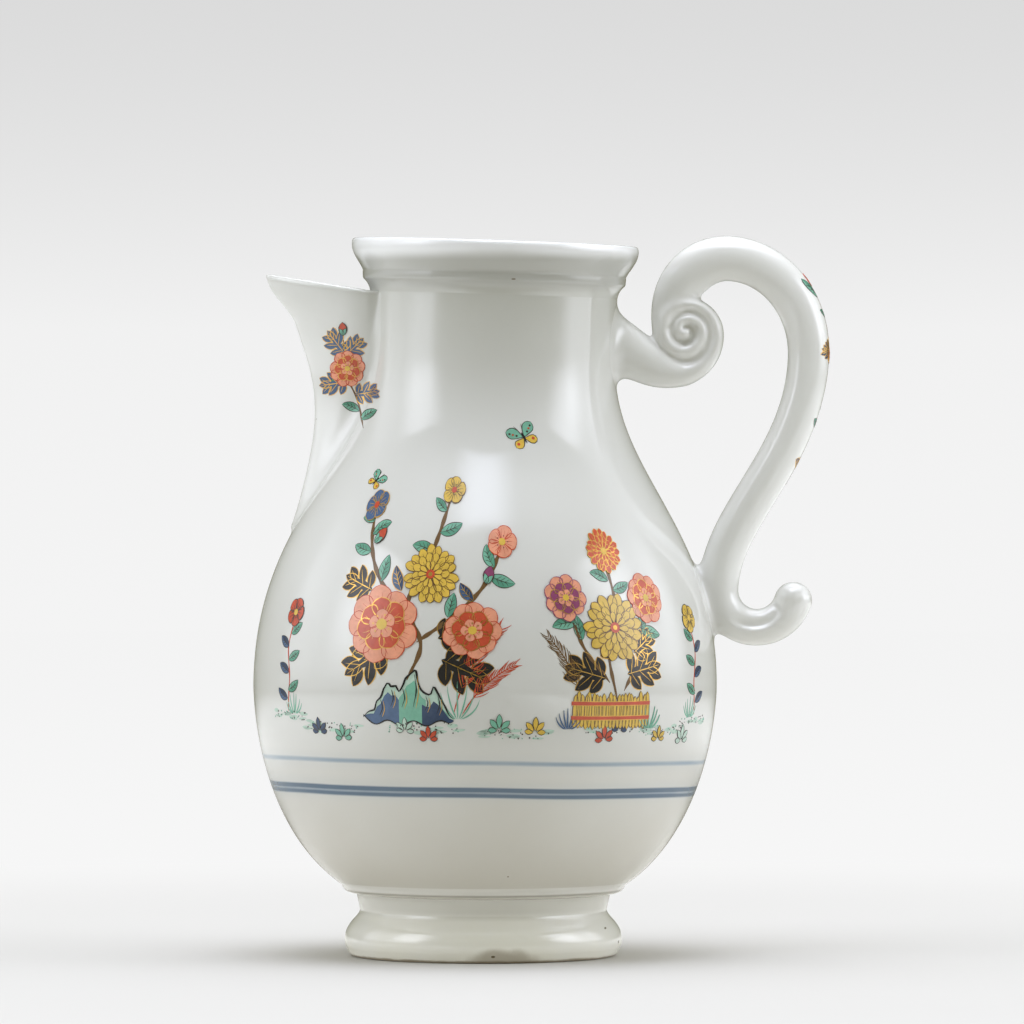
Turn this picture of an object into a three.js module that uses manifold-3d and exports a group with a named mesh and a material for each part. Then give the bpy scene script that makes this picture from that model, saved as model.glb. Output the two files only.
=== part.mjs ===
// A porcelain milk jug: a pear-shaped body with a moulded lip, a foot ring, a beak spout over a pierced neck,
// and a scroll handle built up from a bracket, a volute, a loop and a tail.
// Each piece is one that a potter makes by itself and joins to the next with slip.
// Millimetres, +Z up. The spout points along -X and the handle along +X.

import * as THREE from 'three';
import { mergeVertices } from 'three/addons/utils/BufferGeometryUtils.js';
import Module from 'manifold-3d';

const wasm = await Module();
wasm.setup();

// Body
const HEIGHT = 170; // standing plane to the top of the lip, along the axis
const LEAN = 2.9; // how far the lip's centre has drifted towards the handle in the firing
const LUTE = 0.3; // slip joint between two pieces
const WALL = 3.5;
const FLOOR = 4.5;
const BELLY_RADIUS = 55.3;
const BELLY_LEVEL = 64.4; // height of the widest ring
const BELLY_HIP = 14.5; // height above its lowest edge where the belly's first slope would reach full width
const SHOULDER_FULLNESS = 39.4; // how far the belly holds its width before it turns in
const NECK_RADIUS = 29.5;
const NECK_LENGTH = 15.6; // straight part under the lip
const NECK_SWEEP = 26.9; // how far below the straight part the neck starts to open
const BELLY_OVERHANG = 2.5; // lowest edge of the belly outside the foot's top
const BELLY_LIFT = 1.1; // that edge above the body's flat underside

// Lip
const LIP_HEIGHT = 12;
const LIP_OVERHANG = 4.6; // lip's edge outside the neck
const LIP_BAND = 1.6; // upright edge of the lip
const LIP_STEP = 1.8; // narrow fillet under the lip, outside the neck
const LIP_COVE = 2.7; // height of the cove under that fillet
const LIP_EDGE = 3.4; // thickness of the lip at its top

// Foot
const FOOT_HEIGHT = 15;
const FOOT_TOP_RADIUS = 30.5;
const FOOT_COVE = 1.45; // depth of the waist inside the foot's top
const FOOT_WAIST_LEVEL = 11.4;
const FOOT_BULGE = 4.05; // bulge outside the waist
const FOOT_BULGE_LEVEL = 3.9;
const FOOT_ROUNDING = 2.4; // bulge outside the edge of the standing face
const FOOT_WALL = 5; // ring thickness at the waist

// Spout
const SPOUT_REACH = 24.9; // tip to neck
const SPOUT_TIP_DROP = 9.3; // tip below the top of the lip
const SPOUT_LENGTH = 60; // tip to the point where the keel dies into the belly
const SPOUT_RISE = 2.9; // tip above the root of the pouring edge
const SPOUT_HALF_WIDTH = 12; // at the neck, along the pouring edge
const SPOUT_WALL = 2.6;
const BEAK_FLARE = 3.4; // extra reach of the beak
const BEAK_START = 12; // below the tip, where the beak begins to flare
const BEAK_END = 2.5; // below the tip, where the flare is complete
const STRAINER_RADIUS = 2;
const STRAINER_PITCH = 5.2;
const STRAINER_DROP = 8; // top row of holes below the pouring edge
const STRAINER_ROWS = [3, 2, 1]; // holes in each row, from the top

// Handle, in the plane Y = 0
const VOLUTE_RADIUS = 7.2;
const VOLUTE_REACH = 16.2; // volute's centre from the neck
const VOLUTE_DROP = 19.8; // volute's centre below the top of the lip
const VOLUTE_HALF_WIDTH = 4.9;
const VOLUTE_ROUNDING = 1.6;
const SPIRAL_BEAD = 1.05; // radius of the raised spiral on both faces
const SPIRAL_TURNS = 1.75;
const SPIRAL_EYE = 1.1; // spiral's radius where it ends at the centre
const BRACKET_DROP = 3.2; // bracket's root below the volute's centre
const BRACKET_ROOT_HALF = 7.9; // half height at the neck
const BRACKET_ROOT_HALF_WIDTH = 6.4;
const BRACKET_WRAP = 1.15; // bracket's centre line outside the volute, beside it
const BRACKET_SAG = 2.4; // and below it
const BRACKET_SAG_HALF = 2.9; // half thickness under the volute
const BRACKET_WRAP_HALF = 1.3; // half thickness beside the volute
const BRACKET_WRAP_HALF_WIDTH = 5;
const BRACKET_TIP_HALF = 0.7;
const BRACKET_WRAP_END = 58; // degrees round the volute, from the handle side upwards
const LOOP_CROWN = 9.9; // top of the loop's centre line, out from the volute's centre
const LOOP_RISE = 18.1; // and above it
const LOOP_REACH = 29.8; // furthest point of the centre line, out from the volute's centre
const LOOP_REACH_DROP = 4.6; // and below it
const LOOP_START_HALF = 2.2; // half thicknesses
const LOOP_SHOULDER_HALF = 5.1;
const LOOP_CROWN_HALF = 5.45;
const LOOP_REACH_HALF = 4.9;
const LOOP_SEAT_HALF = 4.7;
const LOOP_HALF_WIDTH = 5.4;
const LOOP_UPPER_SWEEP = 25.5; // how far the loop runs straight down from its furthest point
const LOOP_LOWER_SWEEP = 18; // and straight down into its seat
const TAIL_LEVEL = 88.5; // height of the seat on the belly
const TAIL_STANDOFF = 3.8; // tail's centre line outside the belly
const TAIL_RADIUS = 9.1;
const TAIL_TURN = 163; // degrees
const TAIL_HALF = 4.45;
const TAIL_HALF_WIDTH = 4.9;
const KNOB_HALF = 4.5;

// Fineness of the facets
const TURN_STEPS = 48;
const CURVE_STEPS = 10;
const ROUND_STEPS = 3;
const SECTION_STEPS = 14;
const SPOUT_STEPS = 7;
const SPOUT_RINGS = 14;
const HOLE_STEPS = 12;
const END_STEPS = 4;
const SPIRAL_STEPS = 16; // in one turn
const BEAD_STEPS = 6;

const { degToRad, lerp, smoothstep } = THREE.MathUtils;
const neckTop = HEIGHT - LIP_HEIGHT;
const underside = FOOT_HEIGHT + LUTE;
const bellyEdge = underside + BELLY_LIFT;
const tipLevel = HEIGHT - SPOUT_TIP_DROP;
const volute = new THREE.Vector2(NECK_RADIUS + VOLUTE_REACH, HEIGHT - VOLUTE_DROP);

// Solids from geometry and back

function solidOf(geometry) {
  const bare = geometry.clone();
  bare.deleteAttribute('normal');
  bare.deleteAttribute('uv');
  const merged = mergeVertices(bare, 1e-4);
  const corners = merged.index.array;
  const kept = [];
  for (let i = 0; i < corners.length; i += 3) {
    const [a, b, c] = corners.subarray(i, i + 3);
    if (a !== b && b !== c && c !== a) kept.push(a, b, c);
  }
  return new wasm.Manifold(new wasm.Mesh({
    numProp: 3,
    vertProperties: merged.attributes.position.array,
    triVerts: new Uint32Array(kept),
  }));
}

// Each level of the fired jug has drifted towards the handle by the square of its height, and tilted with it.
function leaned(x, z) {
  const share = z / HEIGHT;
  const tilt = Math.atan((2 * LEAN * share) / HEIGHT);
  return [LEAN * share * share + x * Math.cos(tilt), z - x * Math.sin(tilt)];
}

function geometryOf(solid) {
  const mesh = solid.getMesh();
  const position = new Float32Array(mesh.numVert * 3);
  for (let i = 0; i < mesh.numVert; i++) {
    const [x, y, z] = mesh.vertProperties.subarray(i * mesh.numProp, i * mesh.numProp + 3);
    const [leanedX, leanedZ] = leaned(x, z);
    position.set([leanedX, y, leanedZ], i * 3);
  }
  const geometry = new THREE.BufferGeometry();
  geometry.setAttribute('position', new THREE.BufferAttribute(position, 3));
  geometry.setIndex(new THREE.BufferAttribute(mesh.triVerts, 1));
  geometry.computeVertexNormals();
  return geometry;
}

// Turned solid about the jug's axis, from an outline of (radius, height) points that runs up the outside.
function turned(outline) {
  const lathe = new THREE.LatheGeometry(outline, TURN_STEPS);
  lathe.rotateX(Math.PI / 2);
  return solidOf(lathe);
}

// Closed solid through a row of rings that all have the same number of points.
function loft(rings) {
  const count = rings[0].length;
  const position = rings.flat().flatMap((point) => [point.x, point.y, point.z]);
  const index = [];
  for (let i = 0; i + 1 < rings.length; i++) {
    for (let j = 0; j < count; j++) {
      const here = i * count + j;
      const next = i * count + ((j + 1) % count);
      index.push(here, next, here + count, next, next + count, here + count);
    }
  }
  const last = (rings.length - 1) * count;
  for (let j = 1; j + 1 < count; j++) index.push(0, j + 1, j, last, last + j, last + j + 1);
  const geometry = new THREE.BufferGeometry();
  geometry.setAttribute('position', new THREE.Float32BufferAttribute(position, 3));
  geometry.setIndex(index);
  return solidOf(geometry);
}

// Oval ring round a point of a centre line in the plane Y = 0.
function ovalRing(centre, tangent, half, halfWidth) {
  const ring = [];
  for (let j = 0; j < SECTION_STEPS; j++) {
    const angle = (2 * Math.PI * j) / SECTION_STEPS;
    const across = half * Math.cos(angle);
    const y = -halfWidth * Math.sin(angle);
    ring.push(new THREE.Vector3(centre.x - tangent.y * across, y, centre.y + tangent.x * across));
  }
  return ring;
}

// Oval rings along a centre line whose section eases from one size to another, sizes as [half, half width].
function ovalRings(curve, from, to, steps) {
  const rings = [];
  for (let i = 0; i <= steps; i++) {
    const share = i / steps;
    const eased = smoothstep(share, 0, 1);
    const half = lerp(from[0], to[0], eased);
    const halfWidth = lerp(from[1], to[1], eased);
    rings.push(ovalRing(curve.getPoint(share), curve.getTangent(share), half, halfWidth));
  }
  return rings;
}

// Rings that close the end of a swept piece with a dome.
function domeRings(curve, half, halfWidth) {
  const end = curve.getPoint(1);
  const tangent = curve.getTangent(1);
  const rings = [];
  for (let i = 1; i < END_STEPS; i++) {
    const angle = (Math.PI / 2) * (i / END_STEPS);
    const centre = end.clone().addScaledVector(tangent, half * Math.sin(angle));
    rings.push(ovalRing(centre, tangent, half * Math.cos(angle), halfWidth * Math.cos(angle)));
  }
  return rings;
}

// Body

function bodyProfile() {
  const profile = new THREE.CurvePath();
  const edge = new THREE.Vector2(FOOT_TOP_RADIUS + BELLY_OVERHANG, bellyEdge);
  const hip = new THREE.Vector2(BELLY_RADIUS, bellyEdge + BELLY_HIP);
  const belly = new THREE.Vector2(BELLY_RADIUS, BELLY_LEVEL);
  const shoulder = new THREE.Vector2(BELLY_RADIUS, BELLY_LEVEL + SHOULDER_FULLNESS);
  const neck = new THREE.Vector2(NECK_RADIUS, neckTop - NECK_LENGTH);
  const sweep = new THREE.Vector2(NECK_RADIUS, neck.y - NECK_SWEEP);
  profile.add(new THREE.CubicBezierCurve(edge, hip, belly, belly));
  profile.add(new THREE.CubicBezierCurve(belly, shoulder, sweep, neck));
  profile.add(new THREE.LineCurve(neck, new THREE.Vector2(NECK_RADIUS, neckTop)));
  return profile;
}

const profile = bodyProfile();

// Points of the body's outer wall moved outwards by a distance, from the belly's edge to the neck's top.
function wallPoints(steps, out) {
  const points = [];
  for (let i = 0; i <= steps; i++) {
    const point = profile.getPointAt(i / steps);
    const tangent = profile.getTangentAt(i / steps);
    points.push(new THREE.Vector2(point.x + tangent.y * out, point.y - tangent.x * out));
  }
  return points;
}

const WALL_SAMPLES = 200;
const wallSamples = wallPoints(WALL_SAMPLES, 0);

function bodyRadius(level) {
  const above = wallSamples.findIndex((point) => point.y >= level);
  if (above < 0) return NECK_RADIUS;
  if (above === 0) return wallSamples[0].x;
  const low = wallSamples[above - 1];
  const high = wallSamples[above];
  return lerp(low.x, high.x, (level - low.y) / (high.y - low.y));
}

// The body without its hollow, grown all round, which trims the pieces that seat on it.
function bodyTrim() {
  const outline = wallPoints(3 * CURVE_STEPS, LUTE);
  outline.unshift(new THREE.Vector2(0, underside), new THREE.Vector2(FOOT_TOP_RADIUS, underside));
  outline.push(new THREE.Vector2(0, neckTop));
  return turned(outline);
}

function strainerHoles() {
  const top = tipLevel - SPOUT_RISE - STRAINER_DROP;
  const holes = [];
  STRAINER_ROWS.forEach((count, row) => {
    for (let i = 0; i < count; i++) {
      const hole = new THREE.CylinderGeometry(STRAINER_RADIUS, STRAINER_RADIUS, 4 * WALL, HOLE_STEPS);
      hole.rotateZ(Math.PI / 2);
      const y = (i - (count - 1) / 2) * STRAINER_PITCH;
      hole.translate(-NECK_RADIUS, y, top - row * STRAINER_PITCH);
      holes.push(solidOf(hole));
    }
  });
  return holes;
}

function body() {
  const floor = underside + FLOOR;
  const outside = wallPoints(3 * CURVE_STEPS, 0);
  const inside = wallPoints(2 * CURVE_STEPS, -WALL).filter((point) => point.y > floor + FLOOR / 4);
  const outline = [
    new THREE.Vector2(0, underside),
    new THREE.Vector2(FOOT_TOP_RADIUS, underside),
    ...outside,
    ...inside.reverse(),
    new THREE.Vector2(inside.at(-1).x - FLOOR, floor),
    new THREE.Vector2(0, floor),
  ];
  return strainerHoles().reduce((solid, hole) => solid.subtract(hole), turned(outline));
}

// Lip and foot

function lip() {
  const bottom = neckTop + LUTE;
  const step = NECK_RADIUS + LIP_STEP;
  const edge = NECK_RADIUS + LIP_OVERHANG;
  const bandFoot = HEIGHT - LIP_BAND;
  const stepTop = bottom + LIP_COVE;
  const bow = (bandFoot - stepTop) / 3;
  const path = new THREE.Path();
  path.moveTo(NECK_RADIUS, bottom);
  path.quadraticCurveTo(NECK_RADIUS, bottom + LIP_COVE / 2, step, stepTop);
  path.bezierCurveTo(step, stepTop + bow, edge, bandFoot - bow, edge, bandFoot);
  path.lineTo(edge, HEIGHT);
  path.lineTo(edge - LIP_EDGE, HEIGHT);
  path.quadraticCurveTo(NECK_RADIUS - WALL, bandFoot - bow, NECK_RADIUS - WALL, bottom);
  return turned([...path.getPoints(CURVE_STEPS / 2), new THREE.Vector2(NECK_RADIUS, bottom)]);
}

function foot() {
  const waist = FOOT_TOP_RADIUS - FOOT_COVE;
  const bulge = waist + FOOT_BULGE;
  const rest = bulge - FOOT_ROUNDING;
  const inner = waist - FOOT_WALL;
  const rise = FOOT_WAIST_LEVEL - FOOT_BULGE_LEVEL;
  const path = new THREE.Path();
  path.moveTo(inner, 0);
  path.lineTo(rest, 0);
  path.quadraticCurveTo(bulge, 0, bulge, FOOT_BULGE_LEVEL);
  path.bezierCurveTo(
    bulge, FOOT_BULGE_LEVEL + rise / 2, waist, FOOT_WAIST_LEVEL - rise / 3, waist, FOOT_WAIST_LEVEL,
  );
  path.quadraticCurveTo(waist, (FOOT_WAIST_LEVEL + FOOT_HEIGHT) / 2, FOOT_TOP_RADIUS, FOOT_HEIGHT);
  path.lineTo(inner, FOOT_HEIGHT);
  return turned([...path.getPoints(CURVE_STEPS / 2), new THREE.Vector2(inner, 0)]);
}

// Spout

function keelStandOff(drop) {
  const straight = (SPOUT_REACH - BEAK_FLARE) * (1 - drop / SPOUT_LENGTH);
  return straight + BEAK_FLARE * (1 - smoothstep(drop, BEAK_END, BEAK_START));
}

// Outline of the spout at a drop below its tip, drawn in by an inset: from the neck's wall round the keel.
function spoutRing(drop, inset, lift) {
  const share = 1 - drop / SPOUT_LENGTH;
  const level = tipLevel - drop;
  const root = bodyRadius(level);
  const reach = keelStandOff(drop) - inset;
  const halfWidth = SPOUT_HALF_WIDTH * share ** 0.6 - inset;
  const bluntness = lerp(0.5, 0.8, share);
  const side = [new THREE.Vector3(-(root - WALL), halfWidth, level - SPOUT_RISE * share + lift)];
  for (let i = 0; i <= SPOUT_STEPS; i++) {
    const out = Math.sin((Math.PI / 2) * (i / SPOUT_STEPS));
    const y = halfWidth * Math.max(1 - out * out, 0) ** bluntness;
    const z = level - SPOUT_RISE * share * (1 - out) + lift;
    side.push(new THREE.Vector3(-(root + reach * out), y, z));
  }
  const far = side.slice(0, -1).reverse();
  return [...side, ...far.map((point) => new THREE.Vector3(point.x, -point.y, point.z))];
}

function spoutLoft(inset, depth, lift) {
  const rings = [];
  for (let i = SPOUT_RINGS; i >= 0; i--) {
    const drop = depth * (i / SPOUT_RINGS) ** 1.4;
    rings.push(spoutRing(drop, inset, 0));
  }
  if (lift > 0) rings.push(spoutRing(0, inset, lift));
  return loft(rings);
}

function spout(trim) {
  const outer = spoutLoft(0, 0.96 * SPOUT_LENGTH, 0);
  const channel = spoutLoft(SPOUT_WALL, 0.78 * SPOUT_LENGTH, SPOUT_WALL);
  return outer.subtract(channel).subtract(trim);
}

// Handle

function bracket(grow) {
  const side = VOLUTE_RADIUS + BRACKET_WRAP;
  const under = new THREE.Vector2(volute.x, volute.y - VOLUTE_RADIUS - BRACKET_SAG);
  const root = new THREE.Vector2(NECK_RADIUS - WALL / 2, volute.y - BRACKET_DROP);
  const span = under.x - root.x;
  const arm = new THREE.CubicBezierCurve(
    root,
    new THREE.Vector2(root.x + span / 2, lerp(root.y, under.y, 0.6)),
    new THREE.Vector2(root.x + (2 * span) / 3, under.y),
    under,
  );
  const wrap = new THREE.EllipseCurve(volute.x, volute.y, side, volute.y - under.y, -Math.PI / 2, 0);
  const tip = new THREE.EllipseCurve(
    volute.x, volute.y, side, VOLUTE_RADIUS + BRACKET_TIP_HALF, 0, degToRad(BRACKET_WRAP_END),
  );
  const rootSize = [BRACKET_ROOT_HALF + grow, BRACKET_ROOT_HALF_WIDTH + grow];
  const sagSize = [BRACKET_SAG_HALF + grow, BRACKET_WRAP_HALF_WIDTH + grow];
  const wrapSize = [BRACKET_WRAP_HALF + grow, BRACKET_WRAP_HALF_WIDTH + grow];
  const tipSize = [BRACKET_TIP_HALF + grow, BRACKET_WRAP_HALF_WIDTH * 0.85 + grow];
  return loft([
    ...ovalRings(arm, rootSize, sagSize, CURVE_STEPS),
    ...ovalRings(wrap, sagSize, wrapSize, CURVE_STEPS / 2).slice(1),
    ...ovalRings(tip, wrapSize, tipSize, CURVE_STEPS / 2).slice(1),
    ...domeRings(tip, ...tipSize),
  ]);
}

// Round core of the volute, grown all round.
function voluteCore(grow) {
  const radius = VOLUTE_RADIUS + grow;
  const half = VOLUTE_HALF_WIDTH + grow;
  const path = new THREE.Path();
  path.moveTo(0, -half);
  path.lineTo(radius - VOLUTE_ROUNDING, -half);
  path.quadraticCurveTo(radius, -half, radius, VOLUTE_ROUNDING - half);
  path.lineTo(radius, half - VOLUTE_ROUNDING);
  path.quadraticCurveTo(radius, half, radius - VOLUTE_ROUNDING, half);
  path.lineTo(0, half);
  const lathe = new THREE.LatheGeometry(path.getPoints(ROUND_STEPS), TURN_STEPS / 2);
  lathe.translate(volute.x, 0, volute.y);
  return solidOf(lathe);
}

// Raised spiral on one face of the volute, from the top of the rim round to the eye.
function spiralBead(face) {
  const rim = VOLUTE_RADIUS - SPIRAL_BEAD;
  const steps = SPIRAL_TURNS * SPIRAL_STEPS;
  const rings = [];
  for (let i = 0; i <= steps; i++) {
    const share = i / steps;
    const angle = Math.PI / 2 + 2 * Math.PI * SPIRAL_TURNS * share;
    const radius = lerp(rim, SPIRAL_EYE, share);
    const ring = [];
    for (let j = 0; j < BEAD_STEPS; j++) {
      const turn = (2 * Math.PI * (j + 0.25)) / BEAD_STEPS;
      const out = radius + SPIRAL_BEAD * Math.cos(turn);
      const y = face * VOLUTE_HALF_WIDTH + SPIRAL_BEAD * Math.sin(turn);
      ring.push(new THREE.Vector3(volute.x + out * Math.cos(angle), y, volute.y + out * Math.sin(angle)));
    }
    rings.push(ring);
  }
  return loft(rings);
}

function voluteSolid() {
  return voluteCore(0).add(spiralBead(1)).add(spiralBead(-1));
}

const seat = new THREE.Vector2(bodyRadius(TAIL_LEVEL) + TAIL_STANDOFF, TAIL_LEVEL);

function loop(trim) {
  const crown = new THREE.Vector2(volute.x + LOOP_CROWN, volute.y + LOOP_RISE);
  const reach = new THREE.Vector2(volute.x + LOOP_REACH, volute.y - LOOP_REACH_DROP);
  const startX = volute.x - VOLUTE_RADIUS + 0.8 * LOOP_START_HALF;
  const start = new THREE.Vector2(startX, volute.y + VOLUTE_RADIUS / 4);
  const spring = [crown.x, start.y, crown.x - start.x, crown.y - start.y];
  const rise = new THREE.EllipseCurve(...spring, Math.PI, 0.75 * Math.PI, true);
  const shoulder = new THREE.EllipseCurve(...spring, 0.75 * Math.PI, Math.PI / 2, true);
  const fall = new THREE.EllipseCurve(
    crown.x, reach.y, reach.x - crown.x, crown.y - reach.y, Math.PI / 2, 0, true,
  );
  const down = new THREE.CubicBezierCurve(
    reach,
    new THREE.Vector2(reach.x, reach.y - LOOP_UPPER_SWEEP),
    new THREE.Vector2(seat.x, seat.y + LOOP_LOWER_SWEEP),
    seat,
  );
  const startSize = [LOOP_START_HALF, 0.8 * LOOP_HALF_WIDTH];
  const shoulderSize = [LOOP_SHOULDER_HALF, LOOP_HALF_WIDTH];
  const crownSize = [LOOP_CROWN_HALF, LOOP_HALF_WIDTH];
  const reachSize = [LOOP_REACH_HALF, LOOP_HALF_WIDTH];
  const seatSize = [LOOP_SEAT_HALF, TAIL_HALF_WIDTH];
  const swept = loft([
    ...ovalRings(rise, startSize, shoulderSize, CURVE_STEPS / 2),
    ...ovalRings(shoulder, shoulderSize, crownSize, CURVE_STEPS / 2).slice(1),
    ...ovalRings(fall, crownSize, reachSize, CURVE_STEPS).slice(1),
    ...ovalRings(down, reachSize, seatSize, 2 * CURVE_STEPS).slice(1),
  ]);
  return swept.subtract(voluteCore(LUTE)).subtract(bracket(LUTE)).subtract(trim);
}

function tail(trim) {
  const start = Math.PI + LUTE / TAIL_RADIUS;
  const end = Math.PI + degToRad(TAIL_TURN);
  const curl = new THREE.EllipseCurve(seat.x + TAIL_RADIUS, seat.y, TAIL_RADIUS, TAIL_RADIUS, start, end);
  const under = Math.PI * 1.5;
  const first = new THREE.EllipseCurve(curl.aX, curl.aY, TAIL_RADIUS, TAIL_RADIUS, start, under);
  const second = new THREE.EllipseCurve(curl.aX, curl.aY, TAIL_RADIUS, TAIL_RADIUS, under, end);
  const seatSize = [LOOP_SEAT_HALF, TAIL_HALF_WIDTH];
  const tailSize = [TAIL_HALF, TAIL_HALF_WIDTH];
  const knobSize = [KNOB_HALF, TAIL_HALF_WIDTH];
  return loft([
    ...ovalRings(first, seatSize, tailSize, CURVE_STEPS / 2),
    ...ovalRings(second, tailSize, knobSize, CURVE_STEPS / 2).slice(1),
    ...domeRings(second, ...knobSize),
  ]).subtract(trim);
}

// Assembly

const glaze = new THREE.Color(0xdfe2e2);

function piece(name, solid, roughness) {
  const material = new THREE.MeshStandardMaterial({ color: glaze, roughness, metalness: 0 });
  const mesh = new THREE.Mesh(geometryOf(solid), material);
  mesh.name = name;
  return mesh;
}

const trim = bodyTrim();
const jug = new THREE.Group();
jug.add(
  piece('body', body(), 0.12),
  piece('lip_moulding', lip(), 0.12),
  piece('foot_ring', foot(), 0.16),
  piece('spout', spout(trim), 0.12),
  piece('handle_bracket', bracket(0).subtract(voluteCore(LUTE)).subtract(trim), 0.12),
  piece('handle_volute', voluteSolid(), 0.12),
  piece('handle_loop', loop(trim), 0.12),
  piece('handle_tail', tail(trim), 0.12),
);

// The origin lies on the standing plane, under the middle of the overall length.
const extent = new THREE.Box3().setFromObject(jug);
jug.position.x = -(extent.min.x + extent.max.x) / 2;

const assembly = new THREE.Group();
assembly.add(jug);

export default assembly;
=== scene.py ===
"""Looks of a porcelain milk jug, with a pouring spout and a scrolled handle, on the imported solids."""

import math

import bpy
import numpy as np
from bpy.props import FloatProperty, FloatVectorProperty, PointerProperty
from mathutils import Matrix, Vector
from mathutils.bvhtree import BVHTree


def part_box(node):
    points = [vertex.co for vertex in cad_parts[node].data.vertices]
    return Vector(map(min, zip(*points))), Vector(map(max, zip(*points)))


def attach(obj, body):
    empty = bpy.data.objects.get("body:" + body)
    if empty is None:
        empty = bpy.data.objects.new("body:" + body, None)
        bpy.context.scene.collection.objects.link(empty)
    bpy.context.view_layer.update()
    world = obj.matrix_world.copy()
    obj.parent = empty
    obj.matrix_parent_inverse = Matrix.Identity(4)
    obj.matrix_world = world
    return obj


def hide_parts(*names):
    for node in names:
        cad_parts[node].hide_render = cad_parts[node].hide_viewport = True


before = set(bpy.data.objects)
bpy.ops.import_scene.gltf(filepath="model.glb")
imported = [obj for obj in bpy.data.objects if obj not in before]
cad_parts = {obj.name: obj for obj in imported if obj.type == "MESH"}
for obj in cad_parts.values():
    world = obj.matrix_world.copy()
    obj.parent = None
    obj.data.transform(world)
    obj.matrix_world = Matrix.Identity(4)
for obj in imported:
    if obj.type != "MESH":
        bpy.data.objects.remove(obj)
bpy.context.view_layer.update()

bl_info = {
    "name": "Milk Jug",
    "version": (1, 0, 0),
    "blender": (4, 5, 0),
    "location": "View3D > Sidebar > Milk Jug",
    "description": "Builds a glazed porcelain milk jug, its enamel painting and its studio",
    "category": "Add Mesh",
}

FOOT_LOW, FOOT_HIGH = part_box("foot_ring")
MM = 0.001


# Properties

def length(label, about, size):
    """A length in metres, given here in millimetres."""
    return FloatProperty(name=label, description=about, default=size * MM, precision=5, unit="LENGTH")


def colour(label, about, rgb):
    """A colour in linear light."""
    return FloatVectorProperty(
        name=label, description=about, default=rgb, subtype="COLOR", size=3, min=0, max=1
    )


class JugSizes(bpy.types.PropertyGroup):
    """Sizes of the jug, as its potter would give them."""

    height: length("Height", "Foot to lip along the axis", 170)
    lean: length("Lean", "How far the lip has leant towards the handle in the kiln", 2.9)
    wall: length("Wall", "Thickness of the body's wall", 3.5)
    belly_radius: length("Belly radius", "Widest radius of the body", 55.3)
    belly_level: length("Belly level", "Height of the widest place", 64.4)
    neck_radius: length("Neck radius", "Outside radius of the neck", 29.5)
    lip_height: length("Lip height", "Height of the moulded lip", 12)
    lip_overhang: length("Lip overhang", "How far the lip stands out from the neck", 4.6)
    foot_height: length("Foot height", "Height of the foot ring", 15)
    foot_radius: length("Foot radius", "Radius of the foot ring under the body", 30.5)
    spout_reach: length("Spout reach", "How far the pouring tip stands out from the neck", 24.9)
    spout_length: length("Spout length", "Height of the spout along the body", 60)
    spout_half_width: length("Spout half width", "Half the width of the spout at the neck", 12)
    loop_reach: length("Loop reach", "How far the loop stands out from the volute's centre", 29.8)
    loop_half: length("Loop half thickness", "Half the thickness of the loop at its crown", 5.45)
    tail_radius: length("Tail radius", "Radius of the curl at the handle's lower end", 9.1)


class JugColours(bpy.types.PropertyGroup):
    """Colours of the glaze, the underglaze blue and the enamels."""

    glaze: colour("Glaze", "Clear glaze over the body's porcelain", (0.715, 0.715, 0.685))
    # Painted shade: a darker grey for the neck under the lip and for the lip's flare
    neck_and_lip_shade: colour("Grey glaze", "Glaze at the neck and the lip", (0.61, 0.61, 0.565))
    # Whiter glaze on the spout and the handle; also the painted highlight along the belly's lower edge
    white_glaze_and_highlight: colour("White glaze", "Thinner glaze on the spout and the handle", (0.84, 0.84, 0.815))
    # Warmer, darker towards the foot: partly the glaze's own tint, partly painted shade under the belly; also
    # random warm patches and the painted dark line at the belly's foot
    warm_glaze_and_shade: colour("Warm glaze", "Thicker glaze towards the foot", (0.585, 0.56, 0.495))
    foot_glaze: colour("Foot glaze", "Creamy glaze pooled on the foot", (0.95, 0.94, 0.86))
    foot_edge: colour("Bare edge", "Fired clay where the foot is wiped clean", (0.36, 0.29, 0.20))
    speck: colour("Speck", "Iron specks in the paste", (0.16, 0.12, 0.07))
    ring_blue: colour("Ring blue", "Cobalt of the painted rings", (0.07, 0.128, 0.2))
    ring_pale: colour("Pale ring blue", "Thin cobalt wash", (0.42, 0.50, 0.57))
    red: colour("Red", "Iron red enamel", (0.56, 0.075, 0.03))
    pale_red: colour("Pale red", "Thin wash of iron red", (0.80, 0.34, 0.21))
    yellow: colour("Yellow", "Yellow enamel", (0.72, 0.48, 0.07))
    green: colour("Green", "Turquoise green enamel", (0.19, 0.47, 0.34))
    deep_green: colour("Deep green", "Thicker green enamel", (0.10, 0.33, 0.22))
    blue: colour("Blue", "Thin cobalt blue", (0.07, 0.13, 0.25))
    deep_blue: colour("Deep blue", "Thick cobalt blue", (0.03, 0.058, 0.125))
    purple: colour("Purple", "Rose purple enamel", (0.26, 0.055, 0.14))
    black: colour("Black", "Black enamel", (0.014, 0.012, 0.012))
    gold: colour("Gold", "Fired gold lines", (0.70, 0.42, 0.09))
    line: colour("Line", "Dark brush line", (0.05, 0.04, 0.03))
    bark: colour("Bark", "Brown enamel", (0.16, 0.085, 0.03))
    wash: colour("Wash", "Thin green wash on the ground", (0.50, 0.66, 0.56))


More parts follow.
